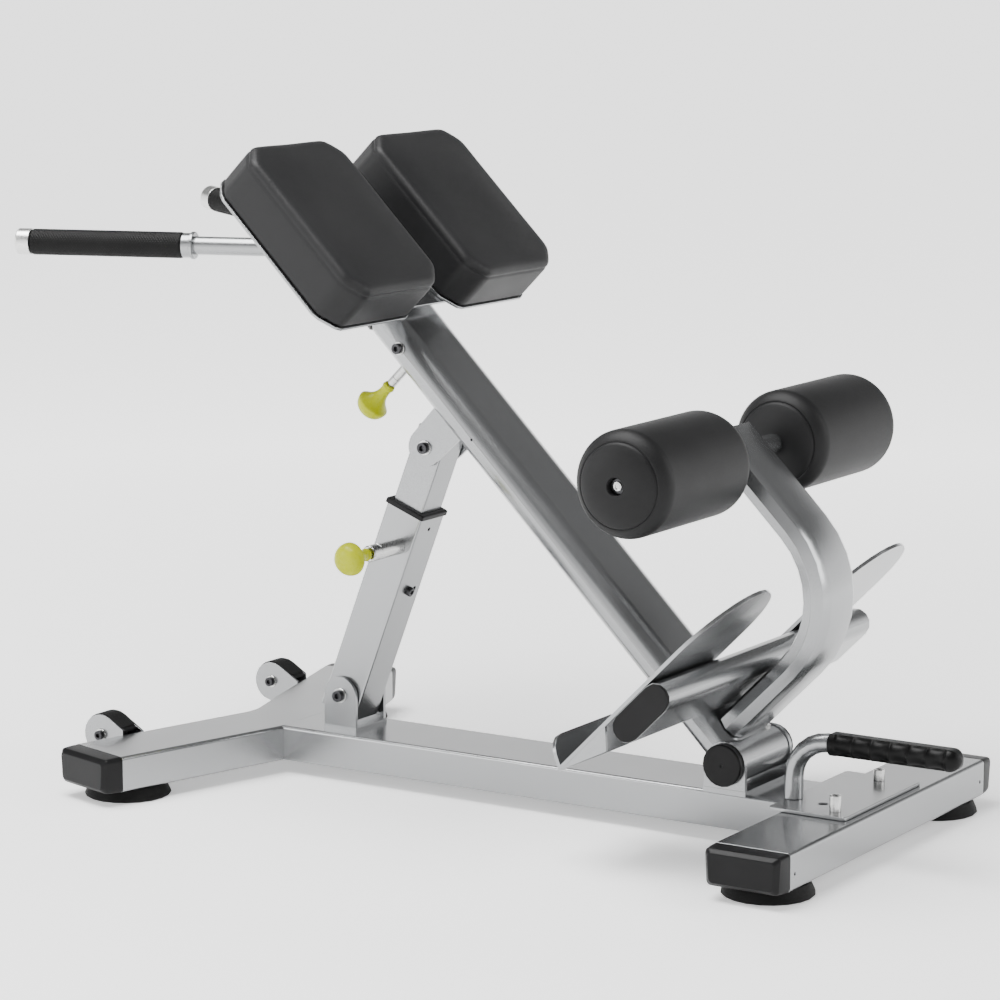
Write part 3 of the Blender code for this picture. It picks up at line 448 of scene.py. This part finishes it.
def buildPad(name):
    pad = {"shrink": 0.0002, "corner": 0.027, "soften": 0.009, "voxel": 0.0042,
           "pressure": 4.0, "swell": 0.0050, "share": 0.35, "fill": 0.95,
           "seamDown": 0.0125, "seamDepth": 0.0013, "seamHalf": 0.0020}
    low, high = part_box("hip_pad_" + name)
    middle = (Vector(low) + Vector(high)) / 2
    widthY = high[1] - low[1]
    # the pad leans with the beam, so its length and thickness are measured along the beam's own axes
    block = frame["nodes"]["hip_pad_" + name].data
    ups = [(vertex.co - pivot).dot(beamUp) for vertex in block.vertices]
    outs = [(vertex.co - pivot).dot(beamNormal) for vertex in block.vertices]
    startUp, endUp, bottom, top = min(ups), max(ups), min(outs), max(outs)
    length, thick = endUp - startUp, top - bottom
    matrix = frameAt(beamPoint((startUp + endUp) / 2, bottom, middle.y), -across, -beamUp)
    shrink = pad["shrink"]
    levels = [(0.0, 0.0015), (0.0015, 0.0004), (0.004, 0.0), (thick - 0.012, 0.0),
              (thick - 0.0065, 0.0010), (thick - 0.0030, 0.0032), (thick - 0.0010, 0.0065), (thick, 0.0115)]
    mesh = bmesh.new()
    rows = []
    for height, inset in levels:
        drawIn = 2 * (inset + shrink)
        outline = cutCorners(widthY - drawIn, length - drawIn, pad["corner"] - inset * 0.6, pad["soften"])
        rows.append(placed(outline, matrix, min(height, thick - shrink * 0.8)))
    loftInto(mesh, rows)
    piece = addPiece(mesh, "hip_pad_cover_" + name, leather, "carriage", ["hip_pad_" + name],
                     180.0)
    remesh = piece.modifiers.new("even", "REMESH")
    remesh.mode = "VOXEL"
    remesh.voxel_size = pad["voxel"]
    applyModifiers(piece)
    inverse = matrix.inverted()
    inflate(piece, lambda co: (inverse @ co).z < 0.003,
            pad["pressure"], pad["swell"], pad["share"])
    subdivide = piece.modifiers.new("fine", "SUBSURF")
    subdivide.levels = subdivide.render_levels = 1
    applyModifiers(piece)
    # the sewn seam runs round the sides, just below the rolled top edge
    seamAt = thick - pad["seamDown"]
    piece.data.shade_smooth()
    for vertex in piece.data.vertices:
        local = inverse @ vertex.co
        away = abs(local.z - seamAt)
        if away < 3 * pad["seamHalf"]:
            depth = pad["seamDepth"] * math.exp(-(away / pad["seamHalf"]) ** 2)
            flat = Vector((vertex.normal.x, vertex.normal.y, vertex.normal.z))
            flat -= beamNormal * flat.dot(beamNormal)
            if flat.length > 0.3:
                vertex.co -= flat.normalized() * depth
    piece.data.materials.clear()
    piece.data.materials.append(leather)
    piece.data.shade_smooth()


for _, name in sides:
    buildPad(name)

# painted shade: black strips over the wheel brackets stand in for the shade between their plates
say("wheel shade strips")


def buildWheelShadeStrip(name):
    # a black strip over the round end and the slope of each wheel bracket, just proud of its plates: painted
    # shade, a dark sheet standing in for the shade between the plates
    shadeStrip = {"proud": 0.0012, "thick": 0.0022, "trim": 0.0040, "from": 172.0, "droop": 31.0, "steps": 26}
    low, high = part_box("wheel_bracket_" + name)
    wheel = centreOf("wheel_" + name)
    plateRadius = wheel.x - low[0]
    outer, inner = plateRadius + shadeStrip["proud"], plateRadius + shadeStrip["proud"] - shadeStrip["thick"]
    sweep = shadeStrip["from"] - 90.0 + shadeStrip["droop"]
    ways = [math.radians(shadeStrip["from"] - sweep * i / shadeStrip["steps"]) for i in range(shadeStrip["steps"] + 1)]
    rims = []
    for reach in (outer, inner):
        rims.append([(wheel.x + reach * math.cos(way), wheel.z + reach * math.sin(way)) for way in ways])
    endX = high[0] - 0.013
    for rim in rims:
        rim.append((endX, rim[-1][1] - (endX - rim[-1][0]) * math.tan(math.radians(shadeStrip["droop"]))))
    outline = rims[0] + list(reversed(rims[1]))
    mesh = bmesh.new()
    edges = (low[1] + shadeStrip["trim"] - 0.0005, high[1] - shadeStrip["trim"] + 0.0005)
    rows = [[Vector((x, y, z)) for x, z in outline] for y in edges]
    loftInto(mesh, rows)
    data = rounded(mesh, 0.0005, 2)
    mesh.free()
    data.name = "wheel_shade_strip_" + name
    data.materials.clear()
    data.materials.append(rubber)
    piece = bpy.data.objects.new(data.name, data)
    bpy.context.scene.collection.objects.link(piece)
    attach(piece, "base")


for _, name in sides:
    buildWheelShadeStrip(name)

say("foot rollers")


def buildRoller(side, name):
    roller = {"dome": 0.031, "hole": 0.0108, "seam": 0.0545, "groove": 0.0016, "bore": 0.0098,
              "recess": 0.0140}
    low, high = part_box("roller_" + name)
    centre = (Vector(low) + Vector(high)) / 2
    radius = (high[0] - low[0]) / 2
    inner = min(abs(low[1]), abs(high[1]))
    length = high[1] - low[1]
    dome = [(roller["hole"], 0.0016), (roller["hole"] + 0.0012, 0.0)]
    steps = 22
    for i in range(1, steps + 1):
        angle = math.pi / 2 * i / steps
        reach = roller["hole"] + 0.0012 + (radius - roller["hole"] - 0.0012) * math.sin(angle) ** 0.9
        along = roller["dome"] * (1 - math.cos(angle) ** 0.9)
        near = abs(reach - roller["seam"])
        along += roller["groove"] * math.exp(-(near / 0.0011) ** 2)
        dome.append((reach, along))
    for offset in (-0.0022, -0.0011, 0.0, 0.0011, 0.0022):
        reach = roller["seam"] + offset
        share = ((reach - roller["hole"] - 0.0012) / (radius - roller["hole"] - 0.0012)) ** (1 / 0.9)
        along = roller["dome"] * (1 - math.cos(math.asin(share)) ** 0.9)
        along += roller["groove"] * math.exp(-((reach - roller["seam"]) / 0.0011) ** 2)
        dome.append((reach, along))
    dome = dome[:2] + sorted(dome[2:])
    mouth = roller["recess"] * 0.2
    profile = [(roller["bore"], mouth), (roller["hole"], mouth)] + dome
    profile += [(reach, length - along) for reach, along in reversed(dome)]
    profile += [(roller["hole"], length - roller["recess"]), (roller["bore"], length - roller["recess"])]
    mesh = bmesh.new()
    turnInto(mesh, profile, axisFrame(Vector((centre.x, side * inner, centre.z)), across * side), 96, True)
    piece = addPiece(mesh, "foot_roller_foam_" + name, foam, "foot_roller_" + name, ["roller_" + name],
                     50.0)


for side, name in sides:
    buildRoller(side, name)

say("grips")


def knurlTree():
    # a tube whose wall rises in crossed threads; inputs set its size, thread counts and depth
    tree = bpy.data.node_groups.new("knurledSleeve", "GeometryNodeTree")
    wanted = (("Radius", 0.018), ("Length", 0.2), ("Starts", 26.0), ("Turns", 4.0),
              ("Depth", 0.0005), ("Ends", 0.004))
    for name, value in wanted:
        socket = tree.interface.new_socket(name=name, in_out="INPUT", socket_type="NodeSocketFloat")
        socket.default_value = value
    socket = tree.interface.new_socket(name="Finish", in_out="INPUT", socket_type="NodeSocketMaterial")
    tree.interface.new_socket(name="Geometry", in_out="OUTPUT", socket_type="NodeSocketGeometry")
    nodes, links = tree.nodes, tree.links
    entry = nodes.new("NodeGroupInput")
    leave = nodes.new("NodeGroupOutput")

    def calc(operation, first, second=None):
        node = nodes.new("ShaderNodeMath")
        node.operation = operation
        for index, value in enumerate((first, second)):
            if value is None:
                continue
            if isinstance(value, (int, float)):
                node.inputs[index].default_value = value
            else:
                links.new(value, node.inputs[index])
        return node.outputs[0]

    sleeve = nodes.new("GeometryNodeMeshGrid")
    sleeve.inputs["Vertices X"].default_value = 157
    sleeve.inputs["Vertices Y"].default_value = 260
    sleeve.inputs["Size X"].default_value = 1.0
    sleeve.inputs["Size Y"].default_value = 1.0
    position = nodes.new("GeometryNodeInputPosition")
    split = nodes.new("ShaderNodeSeparateXYZ")
    links.new(position.outputs[0], split.inputs[0])
    around = calc("MULTIPLY", calc("ADD", split.outputs["X"], 0.5), 2 * math.pi)
    share = calc("ADD", split.outputs["Y"], 0.5)
    along = calc("MULTIPLY", share, entry.outputs["Length"])
    lead = calc("MULTIPLY", calc("MULTIPLY", share, entry.outputs["Turns"]), 2 * math.pi)
    starts = calc("MULTIPLY", around, entry.outputs["Starts"])
    threadLead = calc("MULTIPLY", lead, entry.outputs["Starts"])
    one = calc("ABSOLUTE", calc("SINE", calc("MULTIPLY", calc("ADD", starts, threadLead), 0.5)))
    other = calc("ABSOLUTE", calc("SINE", calc("MULTIPLY", calc("SUBTRACT", starts, threadLead), 0.5)))
    height = calc("MULTIPLY", one, other)
    edge = calc("MINIMUM", along, calc("SUBTRACT", entry.outputs["Length"], along))
    fade = calc("MINIMUM", calc("DIVIDE", edge, entry.outputs["Ends"]), 1.0)
    relief = calc("MULTIPLY", calc("MULTIPLY", height, entry.outputs["Depth"]), fade)
    drop = calc("MULTIPLY", calc("SUBTRACT", 1.0, fade), entry.outputs["Depth"])
    valley = calc("SUBTRACT", entry.outputs["Radius"], entry.outputs["Depth"])
    radius = calc("SUBTRACT", calc("ADD", valley, relief), drop)
    join = nodes.new("ShaderNodeCombineXYZ")
    links.new(calc("MULTIPLY", radius, calc("COSINE", around)), join.inputs["X"])
    links.new(calc("MULTIPLY", radius, calc("SINE", around)), join.inputs["Y"])
    links.new(along, join.inputs["Z"])
    shape = nodes.new("GeometryNodeSetPosition")
    links.new(sleeve.outputs["Mesh"], shape.inputs["Geometry"])
    links.new(join.outputs[0], shape.inputs["Position"])
    merge = nodes.new("GeometryNodeMergeByDistance")
    merge.inputs["Distance"].default_value = 0.00001
    links.new(shape.outputs[0], merge.inputs[0])
    smooth = nodes.new("GeometryNodeSetShadeSmooth")
    links.new(merge.outputs[0], smooth.inputs[0])
    real = nodes.new("GeometryNodeRealizeInstances")
    links.new(smooth.outputs[0], real.inputs[0])
    finish = nodes.new("GeometryNodeSetMaterial")
    links.new(real.outputs[0], finish.inputs[0])
    links.new(entry.outputs["Finish"], finish.inputs["Material"])
    links.new(finish.outputs[0], leave.inputs[0])
    return tree


knurled = knurlTree()


def gripLine(name):
    # the grip's axis, from the middle of its outer end face to the middle of its inner one
    points = [vertex.co for vertex in frame["nodes"]["grip_" + name].data.vertices]
    middle = sum(points, Vector()) / len(points)
    head = Vector(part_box("grip_end_" + name)[0]) + Vector(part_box("grip_end_" + name)[1])
    outward = (head / 2 - middle).normalized()
    reach = max((point - middle).dot(outward) for point in points)
    return middle + outward * reach, -outward, 2 * reach


def buildGrip(name):
    grip = {"Radius": 0.0184, "Starts": 22.0, "Turns": 2.6, "Depth": 0.0013, "Ends": 0.003}
    bore = 0.0130
    start, heading, length = gripLine(name)
    carrier = bpy.data.objects.new("knurl_carrier", bpy.data.meshes.new("knurl_carrier"))
    bpy.context.scene.collection.objects.link(carrier)
    modifier = carrier.modifiers.new("knurl", "NODES")
    modifier.node_group = knurled
    sockets = {item.name: item.identifier for item in knurled.interface.items_tree if item.in_out == "INPUT"}
    for label, value in grip.items():
        modifier[sockets[label]] = value
    modifier[sockets["Length"]] = length
    modifier[sockets["Finish"]] = gripRubber
    bpy.context.view_layer.update()
    data = bpy.data.meshes.new_from_object(carrier.evaluated_get(bpy.context.evaluated_depsgraph_get()))
    bpy.data.objects.remove(carrier)
    mesh = bmesh.new()
    mesh.from_mesh(data)
    # the sleeve's two open rims are closed down to its bore
    rims = [edge for edge in mesh.edges if edge.is_boundary]
    inner = bmesh.ops.extrude_edge_only(mesh, edges=rims)["geom"]
    for vertex in [item for item in inner if isinstance(item, bmesh.types.BMVert)]:
        flat = Vector((vertex.co.x, vertex.co.y, 0.0)).normalized() * bore
        vertex.co = Vector((flat.x, flat.y, vertex.co.z))
    bmesh.ops.transform(mesh, matrix=axisFrame(start, heading), verts=mesh.verts)
    bmesh.ops.holes_fill(mesh, edges=[edge for edge in mesh.edges if edge.is_boundary], sides=0)
    addPiece(mesh, "handle_grip_knurled_" + name, gripRubber, "carriage", ["grip_" + name],
             50.0)


for _, name in sides:
    buildGrip(name)


def buildLiftGrip():
    # a moulded grip with finger notches along one side and a rounded far end
    grip = {"radius": 0.0168, "notches": 6, "notch": 0.0036, "flat": 0.0142, "lead": 0.010,
            "tail": 0.018, "steps": 150, "around": 64}
    low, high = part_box("lift_grip")
    centre = (Vector(low) + Vector(high)) / 2
    length = high[0] - low[0]
    rows = []
    for i in range(grip["steps"] + 1):
        along = length * i / grip["steps"]
        end = min(along / 0.0025, 1.0)
        close = max(0.0, (along - (length - 0.0150)) / 0.0150)
        scale = (0.86 + 0.14 * math.sqrt(end)) * math.sqrt(max(0.0, 1 - close ** 2)) + 1e-4
        share = (along - grip["lead"]) / (length - grip["lead"] - grip["tail"])
        wave = 0.0
        if 0 < share < 1:
            wave = abs(math.sin(math.pi * grip["notches"] * share)) ** 0.4
        row = []
        for k in range(grip["around"]):
            angle = 2 * math.pi * k / grip["around"]
            y, z = math.cos(angle), math.sin(angle)
            bite = wave * grip["notch"] * max(0.0, min(1.0, (-y - 0.35) / 0.2))
            reach = grip["radius"] - bite
            offset = Vector((0.0, y * reach, max(-grip["flat"], min(grip["flat"], z * reach))))
            row.append(Vector((low[0] + along, centre.y, centre.z)) + offset * scale)
        rows.append(row)
    mesh = bmesh.new()
    loftInto(mesh, rows)
    addPiece(mesh, "lift_grip_moulded", gripRubber, "base", ["lift_grip"], 60.0)


buildLiftGrip()

say("fasteners and knobs")


def socketHead(name, seat, axis, size, body, nodes=(), material=zinc):
    # a socket head: a turned button with a hexagon sunk into its face, standing on its seat
    radius, height, key = size
    steps = 36
    matrix = axisFrame(seat, axis)
    hexagon = []
    for i in range(steps):
        angle = 2 * math.pi * i / steps
        sector = (angle % (math.pi / 3)) - math.pi / 6
        reach = key * math.cos(math.pi / 6) / math.cos(sector)
        hexagon.append((reach * math.cos(angle), reach * math.sin(angle)))
    edge = min(radius * 0.16, height * 0.3)
    levels = [(ringOf(radius, steps), 0.0), (ringOf(radius, steps), height - edge),
              (ringOf(radius - edge * 0.3, steps), height - edge * 0.3),
              (ringOf(radius - edge, steps), height), (ringOf(key * 1.16, steps), height),
              (hexagon, height - key * 0.12), (hexagon, height * 0.35)]
    mesh = bmesh.new()
    loftInto(mesh, [placed(outline, matrix, along) for outline, along in levels])
    return addPiece(mesh, name, material, body, nodes, 30.0)


def washer(name, seat, axis, size, body, material=zinc, nodes=()):
    outer, inner, thick = size
    profile = [(inner, 0.0), (outer, 0.0), (outer, thick * 0.7), (outer - thick * 0.3, thick), (inner, thick)]
    mesh = bmesh.new()
    turnInto(mesh, profile, axisFrame(seat, axis), 40, True)
    return addPiece(mesh, name, material, body, nodes, 30.0)


def throughBolt(prefix, node, body, radius, rise, key):
    # both ends of a bolt through its bracket: washer and socket head on the right, the same over the nut
    low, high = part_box(node)
    centre = (Vector(low) + Vector(high)) / 2
    for side, name in sides:
        face = low[1] + rise if side < 0 else high[1] - rise
        seat = Vector((centre.x, face, centre.z))
        outwards = across * side
        washer(prefix + "_washer_" + name, seat + outwards * 0.0001, outwards,
               (radius * 1.32, radius * 0.6, 0.0014), body)
        socketHead(prefix + "_head_" + name, seat + outwards * 0.0015, outwards,
                   (radius, rise - 0.0016, key), body, (node,) if side < 0 else (), darkSteel)


throughBolt("fork_bolt", "fork_bolt", "base", 0.0082, 0.0085, 0.0042)
throughBolt("lug_bolt", "lug_bolt", "beam", 0.0080, 0.0080, 0.0042)
for side, name in sides:
    throughBolt("wheel_bolt_" + name, "wheel_bolt_" + name, "base", 0.0068, 0.0075, 0.0036)
    low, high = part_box("guide_screw_" + name)
    seat = centreOf("guide_screw_" + name)
    seat.y = side * (max(abs(low[1]), abs(high[1])) - 0.0080)
    washer("guide_washer_" + name, seat, across * side, (0.0092, 0.0045, 0.0014), "beam")
    socketHead("guide_screw_head_" + name, seat + across * side * 0.0015, across * side,
               (0.0074, 0.0066, 0.0038), "beam", ("guide_screw_" + name,), darkSteel)
    low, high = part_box("joint_screw_" + name)
    seat = Vector(((low[0] + high[0]) / 2, (low[1] + high[1]) / 2, low[2]))
    socketHead("joint_screw_post_" + name, seat, upright, (0.0076, high[2] - low[2], 0.0040), "base",
               ("joint_screw_" + name,))
stopUp = (centreOf("strut_stop_screw") - forkPivot).dot(strutUp)
socketHead("strut_stop_head", strutPoint(stopUp, 0.0303), strutOut, (0.0068, 0.0060, 0.0034), "strut",
           ("strut_stop_screw",), darkSteel)


def buildAxleEnds():
    low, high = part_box("roller_axle")
    centre = centreOf("roller_axle")
    nutLow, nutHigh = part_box("axle_nut")
    washer("axle_nut_turned", Vector((centre.x, nutLow[1], centre.z)), across,
           (0.0100, 0.0062, nutHigh[1] - nutLow[1]), "beam", darkSteel, ("axle_nut",))
    for side, name in sides:
        y = low[1] if side < 0 else high[1]
        socketHead("axle_end_" + name, Vector((centre.x, y + side * 0.0001, centre.z)), across * side,
                   (0.0060, 0.0024, 0.0036), "beam")


buildAxleEnds()


def buildKnob(node, body, origin, axis, neck, rod):
    knob = {"waist": 0.0076, "rim": 0.0229, "flare": 0.038, "length": 0.0585}
    profile = [(0.0, 0.0)]
    for i in range(37):
        along = knob["flare"] * i / 36
        rise = max(0.0, (along - 0.011) / (knob["flare"] - 0.011)) ** 2.3
        collar = 0.0014 * math.exp(-((along - 0.004) / 0.0026) ** 2)
        profile.append((knob["waist"] + collar + (knob["rim"] - 0.0012 - knob["waist"]) * rise, along))
    for i in range(25):
        angle = math.pi / 2 * i / 24
        radius = knob["rim"] * math.cos(angle) ** 0.72 if i < 24 else 0.0
        brow = knob["flare"] + 0.0014
        profile.append((radius, brow + (knob["length"] - brow) * math.sin(angle)))
    mesh = bmesh.new()
    turnInto(mesh, profile, axisFrame(origin + axis * neck, axis), 56)
    addPiece(mesh, node + "_knob", limePlastic, body, [node], 60.0)
    mesh = bmesh.new()
    rodProfile = [(0.0, -0.0024), (rod - 0.0006, -0.0024), (rod, -0.0018), (rod, neck + 0.004),
                  (0.0, neck + 0.004)]
    turnInto(mesh, rodProfile, axisFrame(origin, axis), 32)
    addPiece(mesh, node + "_rod", zinc, body, (), 30.0)


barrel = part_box("strut_pin_barrel")
strutPinAt = centreOf("strut_pin_barrel")
strutPinAt.y = barrel[1][1] + 0.0003
buildKnob("strut_pin", "strut_lock", strutPinAt, -across, 0.075, 0.0050)
barrelMiddle = centreOf("beam_pin_barrel")
barrelUp = (barrelMiddle - pivot).dot(beamUp)
barrelDown = (barrelMiddle - pivot).dot(beamNormal) + 0.028 + 0.0003
buildKnob("beam_pin", "beam_lock", beamPoint(barrelUp, barrelDown), -beamNormal, 0.058, 0.0041)


def buildPinBarrels():
    # turned barrels, plain but for a groove near the mouth
    for node, body, origin, axis, outer, inner, length in (
            ("strut_pin_barrel", "strut", strutPinAt, -across, 0.0115, 0.0054, 0.072),
            ("beam_pin_barrel", "beam", beamPoint(barrelUp, barrelDown), -beamNormal, 0.0066, 0.0045, 0.056)):
        profile = [(inner, 0.0003), (outer, 0.0003), (outer, length * 0.72), (outer - 0.0006, length * 0.73),
                   (outer - 0.0006, length * 0.75), (outer, length * 0.76), (outer, length - 0.0020),
                   (outer - 0.0014, length), (inner, length)]
        mesh = bmesh.new()
        turnInto(mesh, profile, axisFrame(origin, axis), 48, True)
        addPiece(mesh, node + "_turned", zinc, body, [node], 30.0)


buildPinBarrels()


def buildGreaseNipple():
    tube = {"radius": 0.029, "y": 0.044, "lean": math.radians(6.0)}
    axis = Vector((math.sin(tube["lean"]), 0.0, math.cos(tube["lean"])))
    seat = pivot + across * tube["y"] + axis * (tube["radius"] - 0.0006)
    profile = [(0.0, 0.0), (0.0056, 0.0), (0.0056, 0.0040), (0.0034, 0.0052), (0.0030, 0.0068),
               (0.0036, 0.0082), (0.0026, 0.0098), (0.0, 0.0104)]
    mesh = bmesh.new()
    turnInto(mesh, profile, axisFrame(seat, axis), 24)
    addPiece(mesh, "grease_nipple", zinc, "beam", (), 30.0)


buildGreaseNipple()


def buildPadScrews():
    # screws up through the carriage plate and the pad boards
    plate = frame["nodes"]["carriage_plate"].data
    outs = [(vertex.co - pivot).dot(beamNormal) for vertex in plate.vertices]
    ups = [(vertex.co - pivot).dot(beamUp) for vertex in plate.vertices]
    face = max(outs) - 0.0045
    middle = (max(ups) + min(ups)) / 2
    for side, name in sides:
        for row, up in enumerate((middle - 0.085, middle + 0.085)):
            for column, y in enumerate((0.080, 0.128)):
                label = name + "_" + str(row * 2 + column + 1)
                seat = beamPoint(up, face, side * y)
                washer("pad_screw_washer_" + label, seat, -beamNormal, (0.0085, 0.0030, 0.0012), "carriage")
                socketHead("pad_screw_" + label, seat - beamNormal * 0.0011, -beamNormal,
                           (0.0060, 0.0040, 0.0030), "carriage")


buildPadScrews()

say("studio")


def buildStudio():
    # the floor glows softly round the object and more further out; the sky is bright at the horizon
    studio = {"floor": (0.95, 0.95, 0.95), "reach": 70.0, "glow": (0.45, 1.9), "ring": (0.7, 3.2),
              "key": 230.0, "rim": 50.0, "front": 60.0, "sky": (2.1, 0.22), "skyFade": (0.16, 0.42)}
    mesh = bmesh.new()
    bmesh.ops.create_circle(mesh, cap_ends=True, segments=64, radius=studio["reach"])
    data = bpy.data.meshes.new("studio_floor")
    mesh.to_mesh(data)
    mesh.free()
    material, shader = startMaterial("studio_white", studio["floor"], 0.9)
    shader.inputs["Emission Color"].default_value = (1.0, 1.0, 1.0, 1.0)
    coords = addNode(material, "ShaderNodeTexCoord")
    distance = addNode(material, "ShaderNodeVectorMath", operation="LENGTH")
    link(material, coords.outputs["Object"], distance.inputs[0])
    glow = rangeOf(material, distance.outputs["Value"], *studio["glow"], *studio["ring"])
    link(material, glow, shader.inputs["Emission Strength"])
    data.materials.append(material)
    floor = bpy.data.objects.new("studio_floor", data)
    bpy.context.scene.collection.objects.link(floor)

    world = bpy.data.worlds.new("studio_world")
    bpy.context.scene.world = world
    world.use_nodes = True
    coords = addNode(world, "ShaderNodeTexCoord")
    split = addNode(world, "ShaderNodeSeparateXYZ")
    link(world, coords.outputs["Generated"], split.inputs["Vector"])
    background = world.node_tree.nodes["Background"]
    background.inputs["Color"].default_value = (1.0, 1.0, 1.0, 1.0)
    fade = rangeOf(world, split.outputs["Z"], *studio["sky"], *studio["skyFade"])
    link(world, fade, background.inputs["Strength"])

    def addLight(name, place, target, size, power):
        light = bpy.data.lights.new(name, "AREA")
        light.shape = "RECTANGLE"
        light.size, light.size_y = size
        light.energy = power
        lamp = bpy.data.objects.new(name, light)
        lamp.location = place
        lamp.rotation_euler = (Vector(target) - Vector(place)).to_track_quat("-Z", "Y").to_euler()
        lamp.visible_camera = False
        bpy.context.scene.collection.objects.link(lamp)

    addLight("key_top", (-0.6, -0.8, 3.2), (0.0, 0.0, 0.4), (2.6, 2.0), studio["key"])
    addLight("rim_right", (3.2, 1.2, 1.8), (0.0, 0.0, 0.4), (1.0, 2.4), studio["rim"])
    addLight("front_left", (-2.6, -3.4, 1.9), (0.0, 0.0, 0.4), (1.6, 2.2), studio["front"])


def buildCamera():
    shot = {"from": Vector((rearFace + 1.9242, -4.009, 1.2173)), "tilt": 80.365, "turn": 32.185,
            "lens": 126.81}
    data = bpy.data.cameras.new("photo_camera")
    data.lens = shot["lens"]
    data.sensor_width = 36.0
    data.clip_end = 200.0
    camera = bpy.data.objects.new("photo_camera", data)
    camera.location = shot["from"]
    camera.rotation_euler = (math.radians(shot["tilt"]), 0.0, math.radians(shot["turn"]))
    bpy.context.scene.collection.objects.link(camera)
    bpy.context.scene.camera = camera


buildStudio()
buildCamera()
